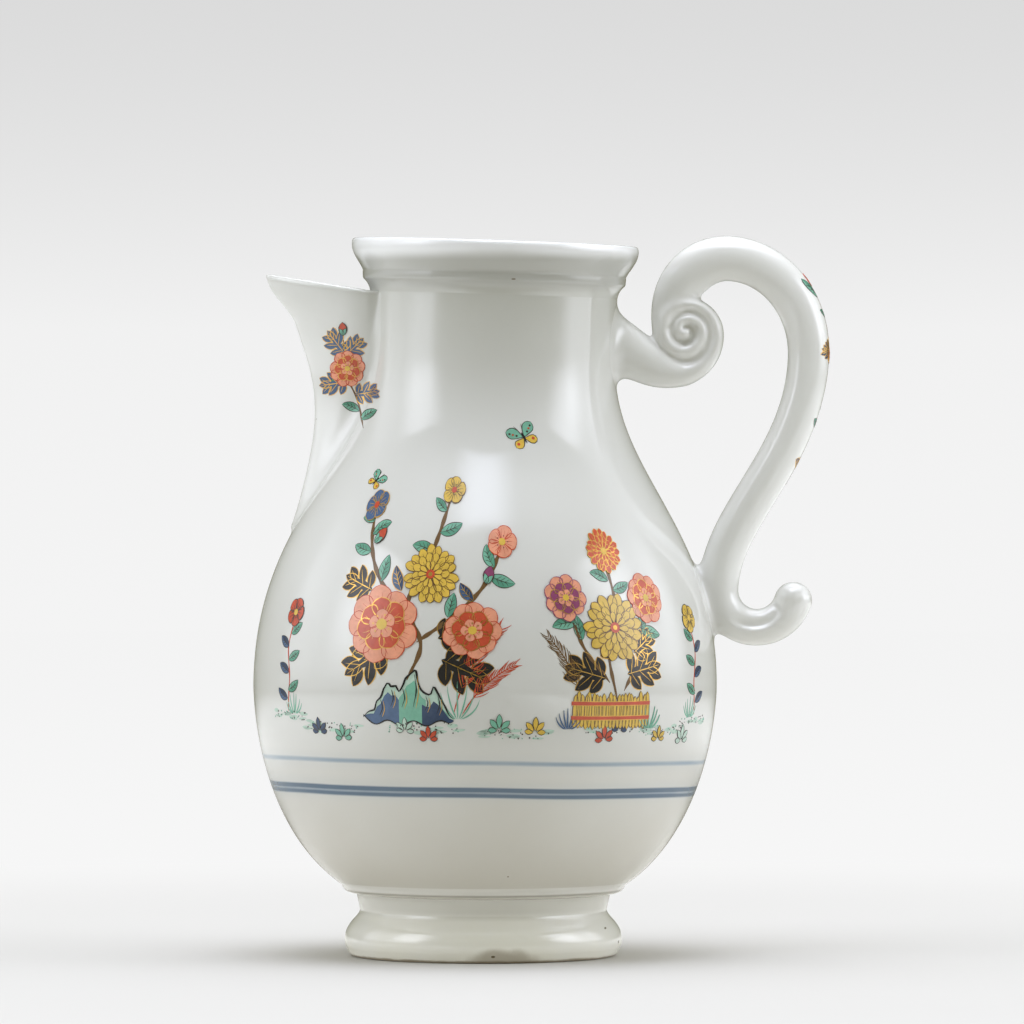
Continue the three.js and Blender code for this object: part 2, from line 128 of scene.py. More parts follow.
class JugStudio(bpy.types.PropertyGroup):
    """The camera's place and the levels of the studio lights."""

    camera_distance: length("Camera distance", "From the lens to the jug's axis", 2075)
    camera_height: length("Camera height", "Of the lens over the table", 135)
    aim_height: length("Aim height", "Of the point in the middle of the picture", 105.9)
    aim_side: length("Aim side", "Of the point in the middle of the picture", -6.97)
    focal: FloatProperty(name="Focal length", description="On a 36 mm sensor", default=305.6)
    side_level: FloatProperty(name="Side boxes", description="Radiance of the side boxes", default=3.5)
    top_level: FloatProperty(name="Top box", description="Radiance of the top box", default=3.9)
    room_level: FloatProperty(name="Room", description="Level of the room's own light", default=0.17)


# Curves and meshes

def bezier(points, count):
    """Points along a Bezier curve of any degree, both ends included."""
    share = np.linspace(0, 1, count)[:, None]
    levels = [np.tile(np.asarray(p, float), (count, 1)) for p in points]
    while len(levels) > 1:
        levels = [a + (b - a) * share for a, b in zip(levels, levels[1:])]
    return levels[0]


def moulding(start, *curves):
    """A line from its start through curves, each given by its later control points and its count."""
    line = [[start]]
    for *points, count in curves:
        line.append(bezier([start, *points], count)[1:])
        start = points[-1]
    return np.vstack(line)


def run_length(line):
    """How far along a line each of its points lies."""
    return np.concatenate([[0], np.cumsum(np.linalg.norm(np.diff(line, axis=0), axis=1))])


def chain(*runs):
    """Runs of points end to end, each start that repeats the last end left out."""
    kept = [np.asarray(runs[0], float)]
    for run in runs[1:]:
        run = np.asarray(run, float)
        if np.linalg.norm(run[0] - kept[-1][-1]) < 1e-6:
            run = run[1:]
        kept.append(run)
    return np.vstack(kept)


def ellipse_arc(centre, reach, rise, start, end, count):
    """Points on an upright ellipse, angles in degrees."""
    angle = np.radians(np.linspace(start, end, count))
    return np.stack([centre[0] + reach * np.cos(angle), centre[1] + rise * np.sin(angle)], 1)


def through(places, values, at):
    """A smooth curve through values at places, read at other places."""
    places, values, at = np.asarray(places, float), np.asarray(values, float), np.asarray(at, float)
    slopes = np.gradient(values, places)
    spot = np.clip(np.searchsorted(places, at) - 1, 0, len(places) - 2)
    gap = places[spot + 1] - places[spot]
    u = np.clip((at - places[spot]) / gap, 0, 1)
    return (
        (1 + 2 * u) * (1 - u) ** 2 * values[spot]
        + u * (1 - u) ** 2 * gap * slopes[spot]
        + u * u * (3 - 2 * u) * values[spot + 1]
        + u * u * (u - 1) * gap * slopes[spot + 1]
    )


def smooth_step(value, low, high):
    """Nought below low, one above high, and an even rise between."""
    u = np.clip((value - low) / (high - low), 0, 1)
    return u * u * (3 - 2 * u)


def joined(a, b, reach):
    """Two fields as one shape, with a fillet of that reach where they meet."""
    near = np.maximum(reach - np.abs(a - b), 0) / reach
    return np.minimum(a, b) - near * near * reach / 4


def cut(a, b, reach):
    """The first field less the second, with an eased edge of that reach."""
    return -joined(-a, b, reach)


def new_piece(name, points, faces, material, sharp=None):
    """A smooth-shaded mesh object from points in metres."""
    mesh = bpy.data.meshes.new(name)
    mesh.from_pydata(np.asarray(points, float).tolist(), [], [list(map(int, f)) for f in faces])
    mesh.validate()
    mesh.shade_smooth()
    if sharp is not None:
        mesh.set_sharp_from_angle(angle=math.radians(sharp))
    mesh.materials.append(material)
    piece = bpy.data.objects.new(name, mesh)
    bpy.context.scene.collection.objects.link(piece)
    return piece


def fit(piece, slot, *nodes):
    """Sets a piece on the jug, in place of the solids that it stands for."""
    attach(piece, "root")
    if nodes:
        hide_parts(*nodes)


def fields(group):
    """Names of the values in a property group."""
    return [name for name in group.bl_rna.properties.keys() if name not in ("rna_type", "name")]


class Form:
    """The jug's lines in millimetres, straight on its axis, and where the kiln left them."""

    def __init__(self, sizes):
        for name in fields(sizes):
            setattr(self, name, getattr(sizes, name) / MM)
        self.axis = (FOOT_LOW.x + FOOT_HIGH.x) / 2 / MM
        self.neck_top = self.height - self.lip_height
        self.spout_top = self.height - 8.8
        self.edge_level = self.foot_height + 1.4
        self.edge_radius = self.foot_radius + 2.5
        belly, widest, neck = self.belly_radius, self.belly_level, self.neck_radius
        waist = self.neck_top - 15.6
        self.outer = moulding(
            (self.edge_radius, self.edge_level),
            ((belly, self.edge_level + 14.5), (belly, widest), (belly, widest), 80),
            ((belly, widest + 39.4), (neck, waist - 26.9), (neck, waist), 110),
            ((neck, self.neck_top), 2),
        )
        self.slopes = np.gradient(self.outer[:, 0], self.outer[:, 1])

    def radius(self, level):
        """Outside radius of the body at a level."""
        return np.interp(level, self.outer[:, 1], self.outer[:, 0])

    def slope(self, level):
        """How fast the radius grows with height."""
        return np.interp(level, self.outer[:, 1], self.slopes)

    def outside(self, x, y, z):
        """Distance outside the body's skin, good close to it."""
        return (np.hypot(x, y) - self.radius(z)) / np.hypot(1, self.slope(z))

    def on_body(self, angle, level, lift):
        """Points over the body's skin, angles from the front towards the handle."""
        steep = np.hypot(1, self.slope(level))
        reach = self.radius(level) + lift / steep
        level = level - lift * self.slope(level) / steep
        return np.stack([reach * np.sin(angle), -reach * np.cos(angle), level], -1)

    def place(self, points):
        """Points leant as the kiln left them, in metres in the shared frame."""
        points = np.asarray(points, float)
        x, y, z = points[..., 0], points[..., 1], points[..., 2]
        tilt = np.arctan(2 * self.lean * z / self.height**2)
        across = self.lean * (z / self.height) ** 2 + x * np.cos(tilt) + self.axis
        return np.stack([across, y, z - x * np.sin(tilt)], -1) * MM


def turned(form, name, profile, material, sharp=None):
    """A closed turned piece; a profile that ends on the axis closes there, any other is a ring."""
    angle = np.linspace(0, 2 * np.pi, AROUND, endpoint=False)
    points, rows = [], []
    for reach, level in profile:
        first = len(points)
        if reach < 1e-6:
            points.append((0, 0, level))
            rows.append([first] * AROUND)
        else:
            points.extend(zip(reach * np.cos(angle), reach * np.sin(angle), np.full(AROUND, level)))
            rows.append(list(range(first, first + AROUND)))
    if profile[0][0] >= 1e-6:
        rows.append(rows[0])
    faces = []
    for low, high in zip(rows, rows[1:]):
        for i in range(AROUND):
            j = (i + 1) % AROUND
            face = list(dict.fromkeys((low[i], low[j], high[j], high[i])))
            if len(face) > 2:
                faces.append(face)
    return new_piece(name, form.place(points), faces, material, sharp)


def skin(field, low, step):
    """Points and quads over a sampled field's zero level."""
    shape = np.array(field.shape) - 1
    cells = int(np.prod(shape))
    total, count = np.zeros((cells, 3)), np.zeros(cells)
    quads = []
    for axis in range(3):
        u, v = (axis + 1) % 3, (axis + 2) % 3
        ends = [slice(None)] * 3
        ends[axis] = slice(None, -1)
        near = field[tuple(ends)]
        ends[axis] = slice(1, None)
        far = field[tuple(ends)]
        spots = np.argwhere((near < 0) != (far < 0))
        a, b = near[tuple(spots.T)], far[tuple(spots.T)]
        crossing = spots.astype(float)
        crossing[:, axis] += a / (a - b)
        ring = []
        for du, dv in ((0, 0), (-1, 0), (-1, -1), (0, -1)):
            cell = spots.copy()
            cell[:, u] += du
            cell[:, v] += dv
            if (cell < 0).any() or (cell >= shape).any():
                raise RuntimeError("a shape reaches the edge of its block")
            flat = np.ravel_multi_index(tuple(cell.T), shape)
            ring.append(flat)
            for k in range(3):
                total[:, k] += np.bincount(flat, crossing[:, k], cells)
            count += np.bincount(flat, minlength=cells)
        ring = np.stack(ring, 1)
        quads.append(np.where((a < 0)[:, None], ring, ring[:, ::-1]))
    used = np.flatnonzero(count)
    number = np.full(cells, -1)
    number[used] = np.arange(len(used))
    points = total[used] / count[used, None]
    quads = number[np.vstack(quads)]
    for blend in (0.6, 0.6, 0.4):
        pairs = np.vstack([quads[:, [i, (i + 1) % 4]] for i in range(4)])
        pairs = np.vstack([pairs, pairs[:, ::-1]])
        links = np.bincount(pairs[:, 0], minlength=len(points))[:, None]
        sums = np.stack(
            [np.bincount(pairs[:, 0], points[pairs[:, 1], k], len(points)) for k in range(3)], 1
        )
        points = points + blend * (sums / links - points)
    return np.asarray(low) + points * step, quads


def block(low, high, step):
    """Even sample places in a block, as three broadcast axes."""
    axes = [np.arange(a, b + step, step) for a, b in zip(low, high)]
    return np.meshgrid(*axes, indexing="ij", sparse=True)


class Strand:
    """A strap of clay along a line in the handle's plane, with its half thickness and half width."""

    def __init__(self, line, places, halves, widths, step, squareness):
        run = run_length(line)
        at = np.arange(0, run[-1], step)
        self.step, self.power = step, squareness
        self.x, self.z = (np.interp(at, run, line[:, k]) for k in range(2))
        self.half, self.width = (through(places, sizes, at / run[-1]) for sizes in (halves, widths))
        tx, tz = np.gradient(self.x), np.gradient(self.z)
        size = np.hypot(tx, tz)
        self.tx, self.tz = tx / size, tz / size
        self.half_slope = np.gradient(self.half, step)
        self.width_slope = np.gradient(self.width, step)

    def field(self, x, y, z):
        """Distance outside the strap, good close to it."""
        shape = np.broadcast(x, z).shape
        px, pz = np.broadcast_to(x, shape).ravel(), np.broadcast_to(z, shape).ravel()
        best = np.empty(len(px), int)
        for start in range(0, len(px), 4000):
            part = slice(start, start + 4000)
            far = (px[part, None] - self.x) ** 2 + (pz[part, None] - self.z) ** 2
            best[part] = np.argmin(far / self.half**2, 1)
        dx, dz = px - self.x[best], pz - self.z[best]
        along = dx * self.tx[best] + dz * self.tz[best]
        across = dz * self.tx[best] - dx * self.tz[best]
        ahead = np.clip(along, -self.step, self.step)
        half = self.half[best] + self.half_slope[best] * ahead
        width = self.width[best] + self.width_slope[best] * ahead
        across = np.hypot(across, along - ahead)
        half, width, across = (v.reshape(shape) for v in (half, width, across))
        a, b = across / half, np.abs(y) / width
        p = self.power
        size = np.maximum((a**p + b**p) ** (1 / p), 1e-6)
        steep = size ** (1 - p) * np.hypot(a ** (p - 1) / half, b ** (p - 1) / width)
        return (size - 1) / np.maximum(steep, 0.02)


# Materials

class Wire:
    """A socket in a node tree, with Python's arithmetic as Math nodes."""

    def __init__(self, tree, socket=None):
        self.tree, self.socket = tree, socket

    def feed(self, sockets, items):
        """Gives sockets their links or plain values."""
        for name, item in items.items():
            slot = sockets[name]
            if isinstance(item, Wire):
                self.tree.links.new(item.socket, slot)
            elif slot.type == "RGBA" and len(item) == 3:
                slot.default_value = (*item, 1)
            else:
                slot.default_value = item

    def add(self, kind, settings=None, inputs=None, output=0):
        """Any node: its type, its settings, its sockets, and the output that is wanted."""
        node = self.tree.nodes.new(kind)
        for name, value in (settings or {}).items():
            if name == "stops":
                for _ in range(len(value) - 2):
                    node.color_ramp.elements.new(0.5)
                for stop, (place, tone) in zip(node.color_ramp.elements, value):
                    stop.position, stop.color = place, (*tone, 1)
            else:
                setattr(node, name, value)
        self.feed(node.inputs, inputs or {})
        return Wire(self.tree, node.outputs[output] if node.outputs else None)

    def math(self, operation, *others):
        """A Math node on this value and others."""
        return self.add("ShaderNodeMath", {"operation": operation}, dict(enumerate((self, *others))))

    def __add__(self, other):
        return self.math("ADD", other)

    def __sub__(self, other):
        return self.math("SUBTRACT", other)

    def __rsub__(self, other):
        return (self * -1) + other

    def __mul__(self, other):
        return self.math("MULTIPLY", other)

    def __truediv__(self, other):
        return self.math("DIVIDE", other)

    __radd__, __rmul__ = __add__, __mul__

    def clip(self):
        """This value held between nought and one."""
        return self.math("MAXIMUM", 0.0).math("MINIMUM", 1.0)

    def rise(self, low, high):
        """Nought below low, one above high."""
        ends = {"Value": self, "From Min": low, "From Max": high}
        return self.add("ShaderNodeMapRange", {"interpolation_type": "SMOOTHSTEP"}, ends)

    def between(self, first, second):
        """A colour between two, by this share."""
        return self.add("ShaderNodeMix", {"data_type": "RGBA"}, {0: self, 6: first, 7: second}, 2)

    def mix(self, other, share):
        """This colour turning into another by a share."""
        return share.between(self, other)

    def noise(self, scale, detail=2.0):
        """Smooth noise at a scale in features per metre."""
        return self.add("ShaderNodeTexNoise", None, {"Vector": self, "Scale": scale, "Detail": detail})

    def bump(self, strength, distance):
        """A normal from this height."""
        inputs = {"Height": self, "Strength": strength, "Distance": distance}
        return self.add("ShaderNodeBump", None, inputs)


def new_tree(owner):
    """A wire into the emptied node tree of a material, a lamp or the world."""
    owner.use_nodes = True
    owner.node_tree.nodes.clear()
    return Wire(owner.node_tree)


def new_material(name):
    """A node material, its place in object space and the sockets of its shader."""
    material = bpy.data.materials.new(name)
    start = new_tree(material)
    shader = start.add("ShaderNodeBsdfPrincipled")
    start.add("ShaderNodeOutputMaterial", None, {0: shader})
    return material, start.add("ShaderNodeTexCoord", None, None, "Object"), shader.socket.node.inputs


def shade(tone, level):
    """A colour at a share of its level."""
    return tuple(c * level for c in tone)


def specks(place, scale, rarity, size):
    """Sparse round specks: a share of the cells of a coarse pattern hold one each."""
    cells = {"Vector": place, "Scale": scale}
    far = place.add("ShaderNodeTexVoronoi", None, cells, "Distance")
    tone = place.add("ShaderNodeTexVoronoi", None, cells, "Color")
    pick = place.add("ShaderNodeSeparateColor", None, {"Color": tone}, 0)
    wander = place.noise(900.0) * (size * 0.8)
    return (1 - (far + wander).rise(size, size * 1.5)) * pick.rise(rarity, rarity + 0.01)


def axes_of(place):
    """The three coordinates of a place in millimetres."""
    return [
        place.add("ShaderNodeSeparateXYZ", None, {"Vector": place}, i) * (1 / MM) for i in range(3)
    ]


def from_axis(across, along):
    """Distance from an upright axis."""
    return (across * across + along * along).math("SQRT")


def spot(axes, centre, size):
    """One small mark at a place in millimetres, with its half sizes."""
    parts = [(axis - middle) / half for axis, middle, half in zip(axes, centre, size)]
    return 1 - (parts[0] * parts[0] + parts[1] * parts[1] + parts[2] * parts[2]).rise(0.5, 1.1)


def glaze_finish(place, sockets, tone, wave, rough, gloss=0.8):
    """Clear glaze: fine waviness, a soft orange peel and a slightly uneven gloss."""
    height = place.noise(55.0, 1.0) + place.noise(420.0, 1.0) * 0.06
    place.feed(sockets, {
        "Base Color": tone,
        "Roughness": place.noise(130.0, 3.0) * 0.05 + (rough - 0.025),
        "Normal": height.bump(wave, 0.0012),
        "IOR": 1.52,
        "Specular IOR Level": gloss,
    })


# Levels over which the glaze's tone changes: warmer towards the foot, partly painted shade; whiter from the
# shoulder; painted shade at the neck and from the lip's cove
FOOT_FADE, SHOULDER_FADE = (14.0, 62.0), (74.0, 132.0)
NECK_FADE, COVE_FADE = (126.0, 162.0), (157.5, 160.5)


def porcelain(name, colours, form, rings=False, white=0.0, thin=False, marks=(), wave=0.1):
    """Glazed porcelain: greyer at the neck with painted shade, warmer below, partly with painted shade,
    whiter on what stands out, with specks.
    """
    material, place, sockets = new_material(name)
    x, y, z = axes = axes_of(place)
    cloud = place.noise(28.0, 3.0)
    # Warmer and darker below the belly's widest: partly the glaze's tint, partly painted shade
    warm = (1 - (z + (cloud - 0.5) * 26).rise(*FOOT_FADE)) * 0.85
    # Painted shade: greyer and darker up the neck, under the lip
    neck = z.rise(*NECK_FADE)
    tone = warm.between(colours.glaze, colours.warm_glaze_and_shade).mix(colours.neck_and_lip_shade, neck)
    if white:
        out = from_axis(x - form.axis, y) - form.neck_radius
        away = out - (1 - z.rise(*SHOULDER_FADE)) * (form.belly_radius - form.neck_radius)
        tone = tone.mix(colours.white_glaze_and_highlight, away.rise(0.5, 6.5) * (1 - neck * (1 - white)))
    if thin:
        # Painted shade over the lip from its cove up, where the flare faces down
        tone = tone.mix(shade(colours.neck_and_lip_shade, 0.82), z.rise(*COVE_FADE))
        # Painted light: the rim's top paler, for light glowing through the thin porcelain
        tone = tone.mix((0.92, 0.925, 0.93), z.rise(form.height - 4.6, form.height - 1.6))
    patch = (place.noise(16.0, 2.0) - 0.5) * 0.9
    tone = tone.mix(shade(colours.warm_glaze_and_shade, 0.9), patch.clip() * 0.35)
    if rings:
        # Painted highlight and painted shade at the belly's lower edge
        tone = painted_edge_light(z - form.foot_height, tone, colours)
        tone = painted_rings(place, tone, colours, form)
    tone = tone.mix(colours.speck, specks(place, 75.0, 0.90, 0.0155) * 0.8)
    for centre, size in marks:
        tone = tone.mix(colours.speck, spot(axes, centre, size) * 0.85)
    glaze_finish(place, sockets, tone, wave, 0.075)
    return material


def painted_edge_light(over_foot, tone, colours):
    """The belly's lower edge: a pale band of painted highlight, over a dark line of painted shade in the
    crease at the foot.
    """
    # A band of painted highlight just over the foot
    fillet = over_foot.rise(1.0, 1.4) * (1 - over_foot.rise(2.65, 2.95))
    # A line of painted shade in the crease at the foot
    groove = 1 - (over_foot - 0.85).math("ABSOLUTE").rise(0.1, 0.3)
    tone = tone.mix(colours.white_glaze_and_highlight, fillet * 0.55)
    return tone.mix(shade(colours.warm_glaze_and_shade, 0.5), groove * 0.6)


def painted_rings(place, tone, colours, form):
    """Two cobalt rings under the glaze, banded on the wheel with a brush."""
    upper, lower, sunk = 47.2, 40.2, 1.4
    x, y, z = axes_of(place)
    across = x - form.axis
    tilt = 2 * form.lean * 43 / form.height**2
    level = z + across * (tilt + 0.0046) + y * 0.0165
    level = level + (place.noise(22.0, 1.0) - 0.5) * 0.9
    dab = place.noise(60.0, 3.0)
    away = from_axis(across, y)

    def band(middle, half, soft):
        far, skin = (level - middle).math("ABSOLUTE"), float(form.radius(middle)) - sunk
        return away.rise(skin - 0.3, skin + 0.3) * (1 - far.rise(half - soft, half + soft))

    thin = band(upper, 0.45, 0.35) * (dab * 0.7 + 0.58)
    halo = band(lower + 0.2, 2.2, 1.6) * 0.16 + band(upper, 1.6, 1.3) * 0.1
    wash = band(lower, 1.1, 0.4) * (dab * 0.6 + 0.5)
    line = band(lower + 0.7, 0.45, 0.3) * (dab * 0.3 + 0.8)
    line = line + band(lower - 0.7, 0.4, 0.3) * (dab * 0.5 + 0.5)
    tone = tone.mix(colours.ring_pale, halo.clip())
    tone = tone.mix(colours.ring_pale, (thin + wash).clip())
    return tone.mix(colours.ring_blue, (line + thin * 0.3 + wash * 0.6).clip() * 0.95)


def foot_porcelain(name, colours, form):
    """Creamy glaze on the foot, wiped to a bare brown edge, with a stain and a chip at the front, and painted
    shade in its cove.
    """
    material, place, sockets = new_material(name)
    x, y, z = axes_of(place)
    across = x - form.axis
    cloud, ragged = place.noise(45.0, 3.0), place.noise(160.0, 4.0)
    tone = cloud.rise(0.35, 0.7).between(colours.foot_glaze, (0.95, 0.945, 0.90))
    # Painted shade: darker from the waist up into the foot's cove
    tone = tone.mix(shade(colours.foot_glaze, 0.7), z.rise(9.5, 12.0))
    side, tall = (across - 4.7) / 9.4, z / 3.9
    front = 1 - y.rise(-29.0, -24.0)
    blot = 1 - (side * side + tall * tall + (ragged - 0.5) * 1.1).rise(0.25, 1.15)
    tone = tone.mix((0.42, 0.37, 0.28), (blot * front).clip() * 0.7)
    for centre, size in (
        ((2.4, -32.2, 1.7), (0.55, 6.0, 0.3)),
        ((29.1, -15.2, 7.4), (0.45, 2.5, 0.4)),
        ((32.2, -8.2, 3.7), (0.2, 2.5, 0.4)),
    ):
        tone = tone.mix((0.10, 0.07, 0.025), spot((across, y, z), centre, size) * 0.9)
    bare = 1 - (z + (ragged - 0.5) * 0.9).rise(0.35, 0.85)
    tone = tone.mix(colours.foot_edge, bare * 0.85)
    tone = tone.mix(colours.speck, specks(place, 90.0, 0.86, 0.016) * 0.9)
    glaze_finish(place, sockets, tone, 0.10, 0.06, 1.0)
    return material


def enamel(name, tone, gilt):
    """Fired enamel, uneven as the brush left it; gilt lines are metal, worn in places."""
    material, place, sockets = new_material(name)
    wash, streak = place.noise(260.0, 3.0), place.noise(1100.0, 2.0)
    uneven = (wash * 0.9 + streak * 0.5 - 0.4).clip()
    light = tuple(min(1.0, c * 1.12 + 0.015) for c in tone)
    place.feed(sockets, {
        "Base Color": uneven.between(light, shade(tone, 0.62)),
        "Roughness": wash * 0.12 + (0.26 if gilt else 0.12),
        "Normal": streak.bump(0.2, 0.0002),
    })
    if gilt:
        place.feed(sockets, {"Metallic": 1 - streak.rise(0.45, 0.7) * 0.6})
    return material


# The turned pieces

AROUND = 192
HOLE_RADIUS, HOLE_GAP, HOLE_SIDES = 2, 5.2, 20


def body_profile(form):
    """Half section of the body: underside, outside, neck, inside and floor."""
    wall, low, high = form.wall, form.foot_height, form.neck_top
    outer = form.outer[form.outer[:, 1] < high - 0.01]
    levels = np.linspace(outer[-1, 1], high + 1, 12)[1:]
    top = np.stack([np.full(len(levels), form.neck_radius), levels], 1)
    ledge = (form.edge_radius - 0.55, low + 0.35)
    edge = moulding(
        (form.foot_radius - 0.6, low - 0.15),
        ((ledge[0] - 0.8, low + 0.1), ledge, 5),
        ((form.edge_radius + 0.35, low + 0.55), tuple(outer[1]), 8),
    )
    normal = np.stack([np.ones(len(form.outer)), -form.slopes], 1)
    normal /= np.linalg.norm(normal, axis=1)[:, None]
    inside = (form.outer - wall * normal)[::-1]
    floor = low + 4.8
    inside = inside[(inside[:, 1] > floor + 1.5) & (inside[:, 1] < high - 0.01)]
    rim = [(form.neck_radius - wall, high + 1)]
    base = bezier([tuple(inside[-1]), (inside[-1, 0] - 2, floor), (inside[-1, 0] - 6, floor)], 8)
    return chain([(0, low - 0.15)], edge, outer[2:], top, rim, inside, base, [(0, floor)])


def lip_profile(form):
    """Ring section of the lip: cove, step band, flare, rounded rim and flared mouth."""
    neck, low, top = form.neck_radius, form.neck_top, form.height + 0.25
    step, out, mouth = neck + 1.8, neck + form.lip_overhang + 0.1, neck - form.wall - 0.03
    return moulding(
        (neck - 1.2, low - 1.2),
        ((neck - 0.08, low - 1.2), 2),
        ((neck + 0.05, low + 1.3), (step - 0.3, low + 2.5), 9),
        ((step, low + 2.75), (step + 0.06, low + 3.1), 5),
        ((step + 0.16, low + 4.0), (step + 0.12, low + 4.7), 6),
        ((step + 0.5, low + 6.0), (out - 0.15, low + 8.2), (out, low + 10.3), 14),
        ((out + 0.1, low + 11.3), (out + 0.05, top), (out - 0.8, top), 10),
        ((out - 2.5, top), (out - 3.6, top - 1.3), 8),
        ((out - 3.6, top - 1.2), 2),
        ((mouth + 2.23, low + 7), (mouth, low + 4.5), (mouth, low + 1.3), 18),
        ((mouth, low - 1.2), 2),
    )


def foot_profile(form):
    """Ring section of the foot: flat rest, round bulge, sharp waist and cove."""
    top, height = form.foot_radius, form.foot_height
    waist, bulge, inner = top - 1.05, top + 2.6, top - 6.45
    return moulding(
        (inner, 0.4),
        ((inner + 0.4, 0), 2),
        ((bulge - 2.2, 0), 2),
        ((bulge - 1.2, 0.15), (bulge - 0.6, 1.8), 6),
        ((bulge, 2.6), (bulge, 4.1), 8),
        ((bulge - 0.05, 7.6), (waist + 0.75, 9.0), (waist + 0.12, 10.6), 16),
        ((waist - 0.06, 10.9), (waist + 0.05, 11.2), 6),
        ((waist + 0.2, 12.4), (top - 0.4, 13.4), (top - 0.25, height + 0.3), 10),
        ((inner, height + 0.3), 2),
    )


def strainer(form):
    """Places of the holes through the wall behind the spout, as (across, level)."""
    top = form.height - 20.2
    return [
        ((i - (count - 1) / 2) * HOLE_GAP, top - row * HOLE_GAP)
        for row, count in enumerate((3, 2, 1))
        for i in range(count)
    ]


def pierce(piece, form):
    """Cuts the strainer holes through the wall behind the spout."""
    points, faces = [], []
    angle = np.linspace(0, 2 * np.pi, HOLE_SIDES, endpoint=False) + 0.07
    across, up = HOLE_RADIUS * np.cos(angle), HOLE_RADIUS * np.sin(angle)
    for middle, level in strainer(form):
        near = range(len(points), len(points) + HOLE_SIDES)
        far = range(near.stop, near.stop + HOLE_SIDES)
        for reach in (-form.neck_radius - 8, -form.neck_radius + 9):
            points.extend(zip(np.full(HOLE_SIDES, reach), middle + across, level + up))
        faces.extend((near[i], near[i - 1], far[i - 1], far[i]) for i in range(HOLE_SIDES))
        faces.extend((tuple(near), tuple(reversed(far))))
    drill = new_piece("drill", form.place(points), faces, piece.data.materials[0])
    trim = piece.modifiers.new("pierce", "BOOLEAN")
    trim.operation, trim.object, trim.solver = "DIFFERENCE", drill, "EXACT"
    view = bpy.context.evaluated_depsgraph_get()
    pierced = bpy.data.meshes.new_from_object(piece.evaluated_get(view))
    piece.modifiers.clear()
    piece.data = pierced
    bpy.data.objects.remove(drill)
    pierced.set_sharp_from_angle(angle=math.radians(40))


class JUG_OT_body(bpy.types.Operator):
    """Turns the body with its neck and pierces the strainer"""

    bl_idname = "jug.body"
    bl_label = "Body"

    def execute(self, context):
        form = Form(context.scene.jug_sizes)
        marks = [((-7.9, -36.5, 20.9), (0.22, 9.0, 0.2))]
        material = porcelain("body_glaze", context.scene.jug_colours, form, rings=True, marks=marks)
        piece = turned(form, "jug_body", body_profile(form), material, 40)
        pierce(piece, form)
        fit(piece, "glazed_porcelain", "body")
        return {"FINISHED"}


class JUG_OT_lip(bpy.types.Operator):
    """Turns the moulded lip"""

    bl_idname = "jug.lip"
    bl_label = "Lip"

    def execute(self, context):
        form, colours = Form(context.scene.jug_sizes), context.scene.jug_colours
        marks = [((-6.6, -31.5, 161.1), (0.6, 4.0, 0.22))]
        material = porcelain("lip_glaze", colours, form, thin=True, marks=marks, wave=0.03)
        piece = turned(form, "jug_lip", lip_profile(form), material)
        fit(piece, "glazed_porcelain", "lip_moulding")
        return {"FINISHED"}


class JUG_OT_foot(bpy.types.Operator):
    """Turns the foot ring"""

    bl_idname = "jug.foot"
    bl_label = "Foot"

    def execute(self, context):
        form = Form(context.scene.jug_sizes)
        material = foot_porcelain("foot_glaze", context.scene.jug_colours, form)
        piece = turned(form, "jug_foot", foot_profile(form), material, 50)
        fit(piece, "foot_porcelain", "foot_ring")
        return {"FINISHED"}


# The spout

# How far a luted piece's skin stands over the body, its root goes in, and its fillet runs out
LUTE, ROOT, SKIRT = 0.06, 1.8, 4.5


def spout_field(form, x, y, z):
    """The spout's size about its skin, its reach, its half width, and the depth under its brim."""
    top, run, beak = form.spout_top, form.spout_length, 3.4
    rise = 0.0
    for _ in range(3):
        drop = np.clip(top - z - rise, 0, run)
        share = 1 - drop / run
        reach = (form.spout_reach + 0.5 - beak) * share + beak * (1 - smooth_step(drop, 2.5, 12))
        place = (-x - form.radius(z)) / np.maximum(reach, 0.4)
        rise = 2.9 * share * (1 - np.clip(place, 0, 1))
    half = np.maximum(form.spout_half_width * share**0.6, 0.5)
    blunt = 0.5 + 0.3 * share
    inward = np.maximum(place, 0) ** 1.4 + (np.abs(y) / half) ** (1 / blunt)
    return inward**0.7, half, top - 3.3 * (1 - np.clip(place, 0, 1.05)) - z


class JUG_OT_spout(bpy.types.Operator):
    """Models the spout, its channel and the fillet that lutes it to the body"""

    bl_idname = "jug.spout"
    bl_label = "Spout"

    def execute(self, context):
        form = Form(context.scene.jug_sizes)
        step = 0.4
        low, high = (-60, -20, 92), (-22, 20, 167)
        x, y, z = block(low, high, step)
        size, half, under = spout_field(form, x, y, z)
        steep = np.sqrt(sum(s * s for s in np.gradient(size, step)))
        outer = (size - 1) / np.clip(steep, 0.03, 3)
        outer = np.maximum(outer, form.spout_top - 0.985 * form.spout_length - z)
        body = form.outside(x, y, z)
        wall = 1.7 + 0.9 * smooth_step(-z, -157, -140)
        channel = np.maximum(outer + wall, form.spout_top - 0.78 * form.spout_length - z)
        shape = joined(outer, body + LUTE, 3.2 - 2.2 * smooth_step(z, 146, 158))
        shape = cut(shape, under, 1.3)
        shape = cut(shape, channel, 0.9)
        shape = np.maximum(shape, -(body + ROOT))
        shape = np.maximum(shape, np.maximum(outer, np.abs(y) - half) - SKIRT)
        points, quads = skin(shape, low, step)
        material = porcelain("spout_glaze", context.scene.jug_colours, form, white=0.5)
        piece = new_piece("jug_spout", form.place(points), quads, material)
        fit(piece, "glazed_porcelain", "spout")
        return {"FINISHED"}


# The handle

VOLUTE = (45.7, 150.2)
SEAT = 88.5


